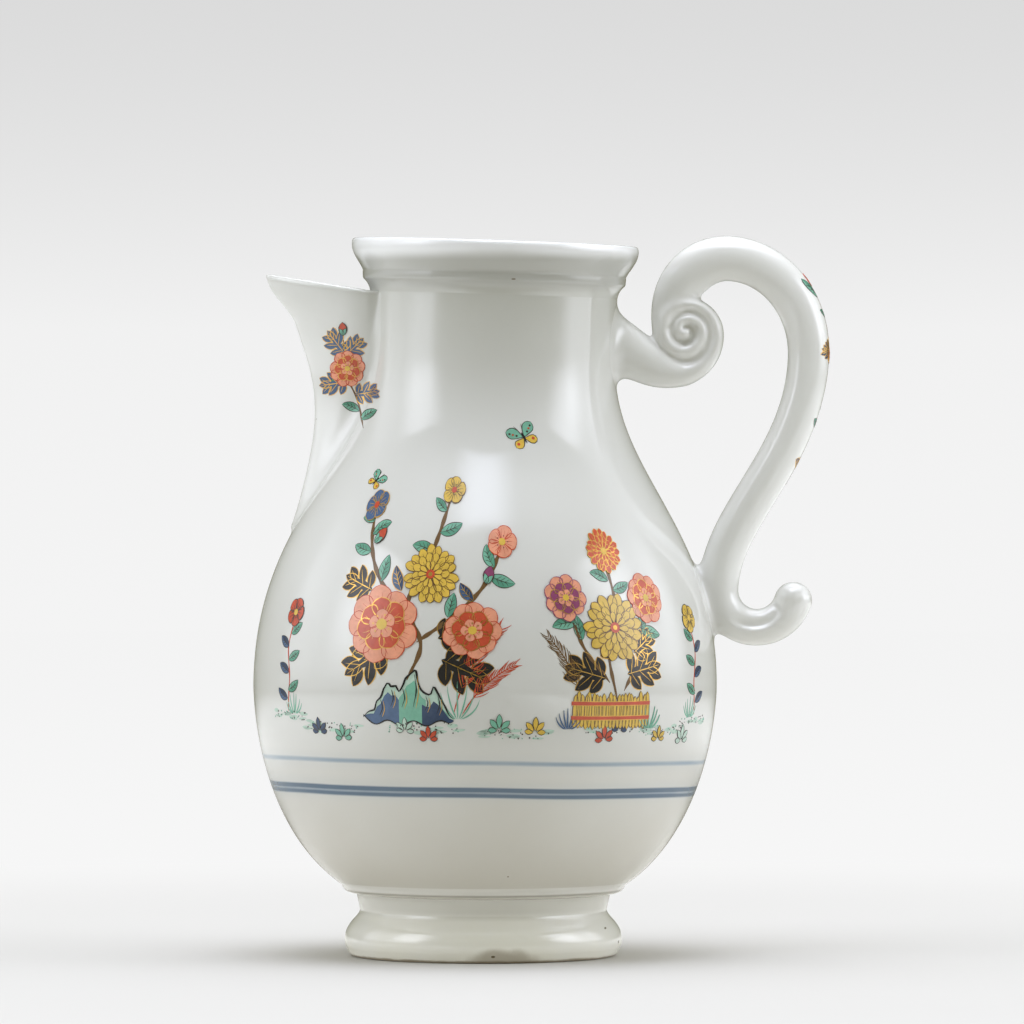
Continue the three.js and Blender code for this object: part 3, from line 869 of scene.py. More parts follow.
def handle_strands(form):
    """The bracket rolled up into the volute, the loop that ends in the curled tail, and its centre."""
    cx, cz = VOLUTE
    root = (form.neck_radius - 1.75, 146.4)
    arm = bezier([root, (36.4, 144.1), (39.7, cz - 9.9), (cx, cz - 9.9)], 60)
    turn = np.linspace(-90, 640, 500)
    marks = [-67, -21, 15, 48, 87, 132, 166, 201, 270, 330, 386, 423, 470, 520, 640]
    roll = through(
        [-90, *marks[:-1], 580, 640],
        [9.9, 9.25, 8.1, 7.6, 7.2, 6.7, 6.0, 5.2, 4.8, 4.65, 4.4, 4.1, 3.6, 2.6, 1.5, 0.6, 0.2],
        turn,
    )
    angle = np.radians(turn)
    line = chain(arm, np.stack([cx + roll * np.cos(angle), cz + roll * np.sin(angle)], 1))
    run = run_length(line)
    at = (run / run[-1])[len(arm) - 1:]
    scroll = Strand(
        line,
        [0, at[0] * 0.3, at[0] * 0.62, at[0], *np.interp(marks, turn, at)],
        [
            7.6, 6.0, 5.1, 3.15, 2.45, 1.75, 1.65, 1.6, 1.7, 1.7,
            1.75, 1.85, 2.2, 1.85, 1.6, 1.55, 1.55, 1.6, 1.8,
        ],
        [
            6.6, 5.9, 5.4, 5.0, 4.9, 4.8, 4.8, 4.8, 4.8, 4.8,
            4.8, 4.85, 4.9, 4.95, 5.0, 5.0, 5.0, 5.05, 5.1,
        ],
        0.16,
        2.2,
    )
    far, crown, tail = cx + form.loop_reach, (cx + 9.9, cz + 18.1), form.tail_radius
    seat = (form.radius(SEAT) + 3.8, SEAT)
    curl = (seat[0] + tail, SEAT)
    loop_line = chain(
        ellipse_arc((crown[0], 151.0), crown[0] - 41.7, crown[1] - 151.0, 190, 90, 50),
        ellipse_arc((crown[0], 145.6), far - crown[0], crown[1] - 145.6, 90, 0, 60),
        bezier([(far, 145.6), (far, 120.1), (seat[0], 106.5), seat], 90),
        ellipse_arc(curl, tail, tail, 180, 343, 50),
    )
    run = run_length(loop_line)
    crown_at, far_at, seat_at = run[[49, 108, 197]] / run[-1]
    loop = Strand(
        loop_line,
        [0, crown_at * 0.55, crown_at, far_at, seat_at, 0.93, 1],
        [3.2, 5.45, form.loop_half, 4.9, 4.7, 4.4, 4.5],
        [3.4, 4.6, 5.3, 5.3, 5.0, 4.8, 4.7],
        0.3,
        2.1,
    )
    return scroll, loop, curl


def tail_groove(shape, curl, x, y, z):
    """A thumbed groove along the curl of the tail, on both faces."""
    dx, dz = x - curl[0], z - curl[1]
    turn = np.degrees(np.arctan2(dz, dx)) % 360
    path = through([200, 238, 270, 300, 319, 326, 360], [9.4, 9.1, 8.6, 7.9, 6.8, 6.2, 6.0], turn)
    ends = smooth_step(turn, 222, 250) * (1 - smooth_step(turn, 318, 330))
    off = np.hypot(dx, dz) - path
    width = np.where(off < 0, 1.5, 0.65)
    press = 0.95 * np.exp(-((off / width) ** 2)) * ends
    return shape + press * smooth_step(np.abs(y), 1.2, 2.6)


class JUG_OT_handle(bpy.types.Operator):
    """Models the bracket, volute, loop and tail as one handle, luted to the neck and the belly"""

    bl_idname = "jug.handle"
    bl_label = "Handle"

    def execute(self, context):
        form = Form(context.scene.jug_sizes)
        step = 0.36
        low, high = (23, -13, 66), (86, 13, 180)
        x, y, z = block(low, high, step)
        scroll, loop, curl = handle_strands(form)
        across, up = x - VOLUTE[0], z - VOLUTE[1]
        away, turn = np.hypot(across, up), np.arctan2(up, across)
        deep = 3.1 + 0.6 * smooth_step(away, 2.2, 6.0) + 0.2 * np.cos(turn - 0.6)
        disc = 6.6 + 1.6 * np.maximum(np.cos(turn + 0.87), 0) ** 2
        core = np.maximum(away - disc, np.abs(y) - deep)
        volute = joined(scroll.field(x, y, z), core, 0.6)
        clay = tail_groove(joined(volute, loop.field(x, y, z), 1.5), curl, x, y, z)
        body = form.outside(x, y, z)
        shape = joined(clay, body + LUTE, 3.4)
        shape = np.maximum(shape, -(body + ROOT))
        shape = np.maximum(shape, clay - SKIRT)
        points, quads = skin(shape, low, step)
        material = porcelain("handle_glaze", context.scene.jug_colours, form, white=1.0)
        piece = new_piece("jug_handle", form.place(points), quads, material)
        nodes = "handle_bracket", "handle_volute", "handle_loop", "handle_tail"
        fit(piece, "glazed_porcelain", *nodes)
        return {"FINISHED"}


# The enamel painting

# How far the enamel stands over the glaze, how much each layer adds, and how far it is sunk
LIFT, LAYER, SUNK = 0.03, 0.014, 0.12


def ray(angle):
    """A step of one millimetre on the sheet, at an angle in degrees."""
    return np.array([math.cos(math.radians(angle)), math.sin(math.radians(angle))])


def sides(spine):
    """Steps of one millimetre to the left of a line, at each of its points."""
    along = np.gradient(spine, axis=0)
    along /= np.maximum(np.linalg.norm(along, axis=1), 1e-9)[:, None]
    return np.stack([-along[:, 1], along[:, 0]], 1)


class Sheet:
    """Brush work on a flat sheet in millimetres, kept as strips of points by colour."""

    def __init__(self, seed):
        self.strips, self.base = [], 0
        self.dice = np.random.default_rng(seed)

    def wander(self, size):
        """A small chance change, as a hand makes it."""
        return self.dice.uniform(-size, size)

    def fill(self, tone, low, high, layer):
        """Enamel between two lines of as many points."""
        low, high = np.asarray(low, float), np.asarray(high, float)
        columns = 3 if np.linalg.norm(high - low, axis=1).max() < 3.2 else 6
        share = np.linspace(0, 1, columns)[None, :, None]
        grid = low[:, None] * (1 - share) + high[:, None] * share
        self.strips.append((tone, grid, layer + self.base))

    def strip(self, tone, spine, half, layer):
        """Enamel along a spine with a half width at each of its points."""
        reach = sides(spine) * np.maximum(half, 0.025)[:, None]
        self.fill(tone, spine - reach, spine + reach, layer)

    def line(self, tone, points, width, layer=3, taper=0.25):
        """A brush line through points, thinner at both ends and a little uneven."""
        points = np.asarray(points, float)
        run = run_length(points)
        at = np.linspace(0, run[-1], max(5, int(run[-1] / 0.7) + 1))
        spine = np.stack([through(run, points[:, k], at) for k in range(2)], 1)
        share = at / run[-1]
        ends = np.minimum(1, np.minimum(share, 1 - share) / taper)
        press = 1 + 0.22 * np.sin(at * 1.3 + self.wander(3))
        self.strip(tone, spine, width / 2 * (0.25 + 0.75 * ends) * press, layer)

    def dot(self, tone, centre, radius, layer=3):
        """A round touch of the brush."""
        share = np.linspace(-1, 1, 9)
        spine = radius * share[:, None] * (0, 1) + centre
        self.strip(tone, spine, radius * np.sqrt(np.maximum(1 - share**2, 0)), layer)

    def blade(
        self, tone, base, angle, size, width, bend=0, full=0.5, blunt=0.8, layer=1, edge=None, rim=0.18
    ):
        """A leaf or petal, widest at a share of its length; gives its spine, sides and half widths."""
        share = np.linspace(0, 1, 13)
        turn = np.radians(angle + bend * (share - 0.5))
        run = np.stack([np.cos(turn), np.sin(turn)], 1) * size / 12
        spine = np.vstack([[0, 0], np.cumsum(run[:-1], axis=0)]) + base
        half = width / 2 * np.sin(np.pi * share ** (math.log(0.5) / math.log(full))) ** blunt
        half[[0, -1]] = 0
        side = sides(spine)
        self.strip(tone, spine, half, layer)
        if edge:
            for sign in (1, -1):
                self.line(edge, spine + sign * side * half[:, None], rim, layer + 1, 0.12)
        return spine, side, half

    def leaf(self, base, angle, size, tone="green", edge="line"):
        """A leaf with one shaded half, its outline and its veins."""
        width, bend = size * 0.46, self.wander(45)
        spine, side, half = self.blade(tone, base, angle, size, width, bend, 0.46, edge=edge)
        if tone in ("green", "blue"):
            self.fill("deep_" + tone, spine - side * np.maximum(half, 0.03)[:, None] * 0.92, spine, 2)
        self.line(edge, spine[:-1], 0.17, 4, 0.4)
        for k in (4, 6, 8):
            for sign in (1, -1):
                start, end, out = spine[k - 1], spine[k + 1], sign * side[k + 1] * half[k + 1]
                vein = [start, (start + end + out * 0.6) / 2 + 0.02, end + out * 0.7]
                self.line(edge, vein, 0.11, 4)

    def toothed(self, base, angle, size, tone="black", edge="gold"):
        """A lobed leaf: a middle blade with pairs of side lobes, outlined and veined."""
        width, axis = size * 0.62, ray(angle)
        for share, turn, scale in ((0.1, 66, 0.46), (0.33, 50, 0.54), (0.58, 36, 0.46)):
            for sign in (1, -1):
                start = axis * size * share + base
                heading = angle + sign * turn + self.wander(6)
                self.blade(tone, start, heading, size * scale, width * 0.42, -sign * 20, edge=edge)
                lobe = ray(heading) * size * scale
                self.line(edge, [start, start + lobe * 0.4, start + lobe * 0.75], 0.13, 5)
        self.blade(tone, axis * size * 0.45 + base, angle, size * 0.55, width * 0.42, 6, edge=edge)
        self.blade(tone, base, angle, size * 0.8, width * 0.36, 0, 0.4, layer=3)
        self.line(edge, [axis * size * share + base for share in (0, 0.5, 0.92)], 0.2, 5)

    def petals(
        self, centre, radius, count, width, tone, edge, start=0, inner=0.2, layer=1, hatch=0, full=0.66
    ):
        """A ring of petals round a centre, hatched from their bases."""
        for i in range(count):
            turn = start + i * 360 / count + self.wander(5)
            size = radius * (1 - inner) * (1 + self.wander(0.07))
            base, bend = ray(turn) * radius * inner + centre, self.wander(14)
            spine, side, half = self.blade(tone, base, turn, size, width, bend, full, 0.62, layer, edge)
            for k in range(hatch):
                off = (k - (hatch - 1) / 2) / max(hatch, 2) * 1.5
                reach = 8 + int(self.dice.integers(0, 3))
                self.line(edge, (spine + side * half[:, None] * off)[1:reach], 0.13, layer + 2, 0.5)

    def peony(self, centre, radius, tone="red", wash="pale_red"):
        """A full flower: hatched outer petals, closed inner petals and a gold heart."""
        start = self.dice.uniform(0, 60)
        self.petals(centre, radius, 9, radius * 0.66, wash, tone, start, 0.2, 1, 4)
        self.petals(centre, radius * 0.7, 7, radius * 0.56, tone, "gold", start + 22, 0.1, 4, 2)
        self.petals(centre, radius * 0.4, 5, radius * 0.36, wash, tone, start, 0.05, 7, 1)
        self.dot("yellow", centre, radius * 0.15, 10)
        for i in range(7):
            self.dot("gold", ray(start + i * 51.4) * radius * 0.25 + centre, 0.2, 11)

    def aster(self, centre, radius, tone="yellow", edge="bark", heart="red"):
        """A flower of many slim petals in three rings."""
        start = self.dice.uniform(0, 30)
        for share, count, width, turn, layer, hatch in (
            (1, 17, 0.33, 0, 1, 1), (0.72, 14, 0.28, 9, 4, 1), (0.46, 11, 0.2, 0, 7, 0),
        ):
            ring = centre, radius * share, count, radius * width, tone, edge, start + turn
            self.petals(*ring, 0.2, layer, hatch, 0.7)
        self.dot(heart, centre, radius * 0.16, 10)
        self.dot("gold", centre, radius * 0.07, 11)

    def blossom(self, centre, radius, tone, edge="line", heart="yellow"):
        """A small flower of five round petals."""
        start = self.dice.uniform(0, 72)
        self.petals(centre, radius, 5, radius * 0.98, tone, edge, start, 0.1, 1, 3, 0.62)
        self.dot(heart, centre, radius * 0.22, 5)
        for i in range(5):
            self.dot("line", ray(i * 72) * radius * 0.36 + centre, 0.13, 6)

    def bud(self, base, angle, size, tone="red"):
        """A closed bud in its green cup."""
        self.blade(tone, base, angle, size, size * 0.62, layer=2, edge="line")
        for sign in (1, -1):
            cup = base, angle + sign * 26, size * 0.58, size * 0.3, sign * 25
            self.blade("green", *cup, 0.45, 0.8, 4, "line", 0.14)

    def plume(self, base, angle, size, tone="red", bend=40):
        """A feathery head of grass: fine strokes that part from a bent stem."""
        spine, side, _ = self.blade(tone, base, angle, size, 0.34, bend, 0.4, 0.3)
        for k in range(4, 13):
            heading = math.degrees(math.atan2(-side[k][0], side[k][1]))
            for sign in (1, -1):
                for gap in (0, 0.5):
                    start = spine[k] - (spine[k] - spine[k - 1]) * gap
                    reach = size * 0.27 * (1.15 - 0.06 * k) * (1 + self.wander(0.2))
                    turn = heading + sign * (24 + self.wander(7))
                    self.blade(tone, start, turn, reach, 0.22, -sign * 34, 0.4, 0.5, 2)

    def tuft(self, base, tone, size):
        """A ground plant of five small leaves, a wash inside a dark line."""
        for turn, scale in ((92, 1.0), (48, 0.85), (134, 0.85), (6, 0.62), (174, 0.62)):
            turn += self.wander(6)
            leaf = ray(turn) * size * 0.12 + base, turn, size * scale * 0.86, size * 0.34
            self.blade(tone, *leaf, 0, 0.55, edge="line", rim=0.15)

    def grass(self, base, tone, size, count=7):
        """A fan of fine grass blades."""
        for i in range(count):
            off = i - (count - 1) / 2 + self.wander(0.2)
            leaf = (base[0] + off * 0.25, base[1]), 90 - off * 13, size * (1 - 0.09 * abs(off)), 0.36
            self.blade(tone, *leaf, off * 20, 0.35, 0.7)

    def ground(self, centre, width, depth):
        """A pale wash of earth with small dots."""
        for tone, count in (("wash", width / 1.5), ("line", width * 1.6), ("green", width)):
            for _ in range(int(count)):
                spot = np.add(centre, (self.wander(width / 2), self.wander(depth / 2)))
                if tone == "wash":
                    turn, size = self.wander(9), self.dice.uniform(1.8, 3.6)
                    thick = self.dice.uniform(0.5, 1.1)
                    self.blade(tone, spot - (1.2, 0), turn, size, thick, blunt=0.6, layer=0)
                else:
                    self.dot(tone, spot, self.dice.uniform(0.1, 0.2), 2)

    def stone(self, centre, width, height):
        """A garden stone: blue and green faces inside an uneven black line, with gold in the clefts."""
        across = np.linspace(-0.5, 0.5, 25)
        peaks = sum(
            tall * np.exp(-((across - at) / wide) ** 2)
            for tall, at, wide in ((0.55, -0.2, 0.13), (0.8, 0.06, 0.12), (0.5, 0.31, 0.1))
        )
        edge = np.sqrt(np.maximum(1 - (2 * across) ** 4, 0))
        top = (0.12 + peaks + 0.05 * np.sin(across * 60 + self.wander(3))) * edge * height
        foot = -0.1 * height * edge + 0.05 * height * np.sin(across * 22)
        spots = np.stack([across * width, 0 * across], 1) + centre
        low, high = spots + foot[:, None] * (0, 1), spots + top[:, None] * (0, 1)
        for tone, first, last, share, layer in (
            ("wash", 0, 25, 1, 1), ("blue", 0, 12, 0.75, 2),
            ("green", 10, 18, 0.8, 3), ("deep_blue", 16, 25, 0.6, 4),
        ):
            part = slice(first, last)
            self.fill(tone, low[part], low[part] * (1 - share) + high[part] * share, layer)
        self.line("black", high, 0.42, 6, 0.1)
        self.line("black", low, 0.32, 6, 0.1)
        for k in (5, 8, 11, 14, 17, 20):
            drop = (high[k] - low[k]) * self.dice.uniform(0.45, 0.7)
            start = high[k] - (high[k] - low[k]) * 0.08
            cleft = [start, start - drop * 0.5 + (0.5, 0), start - drop + (-0.2, 0)]
            gilt = [start + (0.7, -0.3), start - drop * 0.6 + (1.0, -0.2), start - drop + (0.4, -0.4)]
            self.line("black", cleft, 0.26, 6, 0.4)
            self.line("gold", gilt, 0.18, 6)

    def hedge(self, centre, width, height):
        """A low brushwood hedge of tied canes."""
        canes = int(width / 0.95)
        for i in range(canes):
            across = (i + 0.5) / canes * width - width / 2 + self.wander(0.1)
            foot = np.add(centre, (across, self.wander(0.3)))
            tall, turn = height * (0.92 + self.wander(0.1)), 90 + self.wander(3)
            self.blade("yellow", foot, turn, tall, 1.25, blunt=0.25, edge="bark", rim=0.15)
        across = np.linspace(-0.5, 0.5, 15) * (width + 0.6)
        for share in (0.3, 0.68):
            level = centre[1] + height * share
            rope = np.stack([centre[0] + across, level - 0.1 * np.cos(across * np.pi / width)], 1)
            self.fill("red", rope - (0, 0.45), rope + (0, 0.45), 4)
            for lift in (-0.5, 0.45):
                self.line("gold", rope + (0, lift), 0.16, 5)

    def butterfly(self, size, angle):
        """A butterfly with patterned wings seen from above."""
        for sign in (1, -1):
            wings = angle + sign * 50, angle + sign * 118
            self.blade("green", (0, 0), wings[0], size, size * 0.62, sign * 18, 0.66, 0.7, 1, "line")
            hind = size * 0.72, size * 0.5, -sign * 15
            self.blade("yellow", (0, 0), wings[1], *hind, 0.66, 0.7, 1, "line")
            for share, tone in ((0.78, "line"), (0.6, "red"), (0.4, "line")):
                self.dot(tone, ray(angle + sign * 52) * size * share, size * 0.06, 4)
            self.dot("red", ray(angle + sign * 116) * size * 0.48, size * 0.08, 4)
            tip = ray(angle + sign * 16) * size * 0.8
            self.line("line", [(0, 0), tip / 2 + ray(angle) * 0.2, tip], 0.15, 4)
        self.blade("black", -ray(angle) * size * 0.34, angle, size * 0.66, size * 0.14, 0, 0.6, layer=5)

    def each(self, draw, places, *finish):
        """Draws a motif at each of its places, given as base, turn and size."""
        for place in places:
            draw(*place, *finish)


def flowering_shrub():
    """A shrub that grows out of a garden stone, with full flowers, asters and plumes of grass."""
    sheet = Sheet(3)
    sheet.plume((9, -21), 62, 23, "red", -30)
    sheet.plume((11, -21), 44, 17, "red", -36)
    sheet.grass((10, -22), "green", 9)
    sheet.stone((-2, -22), 22, 12)
    for stem in (
        [(-2, -13), (1, -5), (-3, 5), (1, 15), (5, 31)],
        [(0, -4), (8, 2), (15, 9), (20, 19)],
        [(-2, 3), (-10, 9), (-16, 18), (-19, 27)],
    ):
        sheet.line("bark", stem, 1.0, 1, 0.1)
    sheet.each(sheet.toothed, (
        ((-8, -6), 212, 12), ((-6, -7), 168, 10.5), ((6, -8), -24, 12.5), ((5, -3), 20, 10),
        ((-13, 8), 160, 9.5),
    ))
    sheet.each(sheet.leaf, (
        ((-16, 17), 165, 6), ((-17, 21), 30, 6), ((-11, 10), 82, 6.5), ((2, 17), 165, 6.5),
        ((3, 22), 22, 6.5), ((11, 5), -50, 6), ((17, 12), -15, 6.5), ((18, 14), 110, 6),
        ((7, 2), 78, 6), ((4, 27), 140, 5), ((-18, 24), 170, 4.6),
    ))
    sheet.each(sheet.leaf, (((-5, 8), 112, 6.5), ((13, 6), 128, 5.5), ((-4, 2), 235, 7)), "blue", "gold")
    sheet.base = 12
    sheet.peony((-9, 0), 9)
    sheet.peony((13, -1), 6.8)
    sheet.aster((2, 12), 7)
    sheet.blossom((-19, 28), 3.8, "blue", "gold", "red")
    sheet.blossom((20, 20), 4.0, "pale_red", "red")
    sheet.blossom((5.5, 32), 3.4, "yellow", "bark", "red")
    sheet.bud((-15.5, 19), 55, 4.4)
    sheet.bud((16, 10), 75, 4.4, "purple")
    return sheet


def aster_bed():
    """Tall asters and a peony behind a brushwood hedge."""
    sheet = Sheet(8)
    sheet.plume((-8, -16), 118, 19, "bark", 34)
    for stem in (
        [(1, -14), (-1, -3), (2, 8), (1, 20)],
        [(3, -12), (8, -3), (11, 9)],
        [(-1, -10), (-8, -1), (-11, 9)],
    ):
        sheet.line("bark", stem, 0.8, 1, 0.1)
    sheet.each(sheet.toothed, (
        ((-2, -9), 165, 11), ((4, -8), 12, 11), ((1, -3), 130, 9), ((6, -3), 35, 8),
    ))
    sheet.each(sheet.leaf, (
        ((-8, 0), 100, 6), ((0, 6), 35, 6), ((9, 1), 70, 6), ((9, 3), -15, 6.5),
        ((-9, 4), 190, 6.5), ((2, 12), 20, 5.5), ((1, 14), 160, 5.5),
    ))
    sheet.base = 8
    sheet.hedge((0, -21), 21, 9)
    sheet.grass((11, -21), "green", 6)
    sheet.grass((-11.5, -21), "blue", 5)
    sheet.base = 12
    sheet.aster((1, 3), 8.2)
    sheet.aster((1.5, 21), 5.2, "red", "gold", "yellow")
    sheet.peony((12, 10), 6)
    sheet.peony((-11.5, 10), 5.4, "purple")
    return sheet


def corner_plant(seed, flower):
    """A slim plant with one flower, for the ends of the scene."""
    sheet = Sheet(seed)
    sheet.line("red", [(0, -9), (0.8, -1), (-0.6, 6), (0.6, 13)], 0.36, 1, 0.1)
    for base, turn in (
        ((0, -6), 150), ((0.3, -4), 32), ((0.4, 0), 155), ((0, 3), 28), ((-0.4, 6), 150), ((0, 9), 35),
    ):
        sheet.leaf(base, turn, 4.8, "blue" if turn > 90 else "green")
    sheet.base = 8
    sheet.blossom((0.5, 14), 3.4, flower)
    sheet.base = 0
    sheet.grass((2.5, -9.5), "green", 5)
    sheet.ground((0, -10), 14, 2)
    return sheet


def one_butterfly(angle, size):
    """A butterfly alone."""
    sheet = Sheet(5)
    sheet.butterfly(size, angle)
    return sheet


def earth(seed):
    """A stretch of dotted earth with its ground plants."""
    sheet, width = Sheet(seed), 17
    sheet.ground((sheet.wander(3), sheet.wander(1.5)), width, 2.4)
    sheet.base = 5
    tones = ("deep_blue", "wash", "green", "red", "yellow")
    for i in range(2):
        spot = ((i - 0.5) * width * 0.5 + sheet.wander(2.5), sheet.wander(2.2) - 1.5)
        sheet.tuft(spot, tones[(seed + 2 * i) % len(tones)], sheet.dice.uniform(3.2, 4.2))
    return sheet


def spray():
    """A small spray of a red flower among blue and green leaves."""
    sheet = Sheet(12)
    sheet.line("bark", [(4.2, -13), (2.6, -6), (-0.2, 0), (-0.6, 8)], 0.42, 1, 0.1)
    sheet.each(sheet.toothed, (
        ((2.2, -5), 8, 6.0), ((0.2, -2), 188, 6.8), ((-0.5, 5), 128, 6.6), ((-0.4, 4), 44, 6.4),
    ), "blue")
    sheet.each(sheet.leaf, (((3.2, -9), 160, 4.6), ((3.6, -11), 30, 4.6), ((-0.2, 1), 222, 4.6)))
    sheet.base = 8
    sheet.peony((0.4, 1.2), 4.3)
    sheet.bud((-0.6, 9), 95, 3.2)
    return sheet


def handle_spray():
    """A slim spray down the back of the handle."""
    sheet = Sheet(14)
    sheet.line("bark", [(0, -30), (0.8, -14), (-0.6, 4), (0.3, 18)], 0.4, 1, 0.1)
    sheet.each(sheet.leaf, (
        ((0.2, 15), 52, 5.6), ((0, 15), 128, 5.6), ((0.3, 10), 28, 3.6),
        ((0.3, 10), 152, 3.6), ((0.4, -12), 30, 3.8), ((0.4, -16), 150, 3.8),
    ))
    sheet.each(sheet.leaf, (((0.2, -26), 32, 4.2), ((0.2, -26), 148, 4.2)), "deep_blue", "gold")
    for turn in (60, 120, 20, 160):
        sheet.toothed((-0.2, 1), turn, 4.4, "deep_blue")
    sheet.base = 8
    sheet.blossom((-0.2, 1), 1.9, "red", "gold")
    sheet.blossom((0.3, 19), 1.6, "pale_red", "red")
    return sheet


def on_body(form, angle, level):
    """Lays a sheet on the body, its middle at an angle from the front and a level."""
    reach = float(form.radius(level))
    steep = math.hypot(1, float(form.slope(level)))

    def place(grid, lift):
        turn = math.radians(angle) + grid[..., 0] / reach
        return form.place(form.on_body(turn, level + grid[..., 1] / steep, lift))

    return place


def thrown_on(pieces, middle, across, heading):
    """Throws a sheet straight onto pieces from outside, its middle at a place in metres."""
    trees = [
        BVHTree.FromPolygons([v.co for v in mesh.vertices], [tuple(p.vertices) for p in mesh.polygons])
        for mesh in (piece.data for piece in pieces)
    ]
    middle, across, heading = Vector(middle), Vector(across), Vector(heading)

    def land(point, lift):
        start = middle + across * point[0] * MM + Vector((0, 0, 1)) * point[1] * MM - heading * 0.2
        hits = [hit for hit in (tree.ray_cast(start, heading) for tree in trees) if hit[0]]
        if not hits:
            raise RuntimeError("a brush stroke misses the jug")
        spot, normal, _, _ = min(hits, key=lambda hit: hit[3])
        return spot + normal * lift * MM

    def place(grid, lift):
        flat = [land(point, lift) for point in grid.reshape(-1, 2)]
        return np.array(flat).reshape(*grid.shape[:2], 3)

    return place


def lay(bag, sheet, place, mirror=False):
    """Lays a sheet's strips on the jug as thin closed slabs, gathered by colour."""
    for tone, grid, layer in sheet.strips:
        if mirror:
            grid = grid[:, ::-1] * (-1, 1)
        points, faces = bag.setdefault(tone, ([], []))
        first = sum(len(p) for p in points)
        top, under = place(grid, LIFT + LAYER * layer), place(grid, -SUNK)
        rows, columns = grid.shape[:2]
        number = np.arange(rows * columns).reshape(rows, columns) + first
        points.extend((top.reshape(-1, 3), under.reshape(-1, 3)))
        a, b, c, d = number[:-1, :-1], number[:-1, 1:], number[1:, 1:], number[1:, :-1]
        faces.append(np.stack([a, d, c, b], -1).reshape(-1, 4))
        faces.append(np.stack([a, b, c, d], -1).reshape(-1, 4) + rows * columns)
        rim = np.concatenate([number[0, :-1], number[:-1, -1], number[-1, :0:-1], number[:0:-1, 0]])
        low = rim + rows * columns
        faces.append(np.stack([rim, np.roll(rim, -1), np.roll(low, -1), low], -1))


def enamel_pieces(bag, prefix, colours):
    """One piece of fired enamel for each colour in the bag."""
    for tone, (points, faces) in bag.items():
        name = prefix + "_" + tone
        material = enamel(name, getattr(colours, tone), tone == "gold")
        fit(new_piece(name, np.vstack(points), np.vstack(faces), material, 35), None)


class JUG_OT_painting(bpy.types.Operator):
    """Paints the garden scene round the belly in enamels"""

    bl_idname = "jug.painting"
    bl_label = "Painting"

    def execute(self, context):
        form, bag = Form(context.scene.jug_sizes), {}
        for angle, level, sheet, mirror in (
            (-17, 80, flowering_shrub(), False),
            (33, 77, aster_bed(), False),
            (-57, 68, corner_plant(31, "red"), False),
            (64, 68, corner_plant(32, "yellow"), True),
            (14, 124, one_butterfly(115, 4.6), False),
            (-42, 113, one_butterfly(60, 3.4), False),
            (163, 80, flowering_shrub(), True),
            (213, 77, aster_bed(), True),
            (122, 68, corner_plant(33, "yellow"), True),
            (243, 68, corner_plant(34, "red"), False),
            (196, 122, one_butterfly(70, 4.6), False),
        ):
            lay(bag, sheet, on_body(form, angle, level), mirror)
        for i, angle in enumerate((-40, -17, 8, 33, 52, 135, 160, 186, 210, 232)):
            lay(bag, earth(20 + i), on_body(form, angle, 56.0))
        enamel_pieces(bag, "belly_enamel", context.scene.jug_colours)
        return {"FINISHED"}


class JUG_OT_sprays(bpy.types.Operator):
    """Paints a spray on each side of the spout and one down the back of the handle"""

    bl_idname = "jug.sprays"
    bl_label = "Sprays"

    def execute(self, context):
        form, colours = Form(context.scene.jug_sizes), context.scene.jug_colours
        body, spout, handle = (bpy.data.objects["jug_" + name] for name in ("body", "spout", "handle"))
        middle, bag = form.place([-34.5, 0, 138]), {}
        lay(bag, spray(), thrown_on([spout, body], middle, (1, 0, 0), (0, 1, 0)))
        lay(bag, spray(), thrown_on([spout, body], middle, (-1, 0, 0), (0, -1, 0)), True)
        enamel_pieces(bag, "spout_enamel", colours)
        middle, bag = form.place([75, 0, 144.5]), {}
        lay(bag, handle_spray(), thrown_on([handle], middle, (0, 1, 0), (-1, 0, 0)))
        enamel_pieces(bag, "handle_enamel", colours)
        return {"FINISHED"}


# The studio

def aimed(name, data, place, aim):
    """A lamp or camera at a place, turned towards a point."""
    thing = bpy.data.objects.new(name, data)
    thing.location, thing.rotation_mode = place, "QUATERNION"
    thing.rotation_quaternion = (Vector(aim) - Vector(place)).to_track_quat("-Z", "Y")
    bpy.context.scene.collection.objects.link(thing)
    return thing


def light(name, place, aim, size, level, tone, fade):
    """A soft box of a given radiance, its cloth dimmer over a share of each edge."""
    lamp = bpy.data.lights.new(name, "AREA")
    lamp.shape, (lamp.size, lamp.size_y) = "RECTANGLE", size
    lamp.energy, lamp.color = level * math.pi * size[0] * size[1], tone
    cloth = new_tree(lamp).add("ShaderNodeNewGeometry", None, None, "Parametric")
    across, along = (cloth.add("ShaderNodeSeparateXYZ", None, {"Vector": cloth}, i) for i in range(2))
    inward = 0.5 - (across - 0.5).math("ABSOLUTE")
    strength = inward.rise(0.0, fade[0]) * along.rise(0.0, fade[1]) * (1 - along).rise(0.0, fade[2])
    glow = cloth.add("ShaderNodeEmission", None, {"Color": strength.between((0, 0, 0), (1, 1, 1))})
    cloth.add("ShaderNodeOutputLight", None, {0: glow})
    aimed(name, lamp, place, aim).visible_camera = False


def room_tone(studio):
    """The room's own light, a little warm."""
    return shade((1, 0.98, 0.55), studio.room_level)


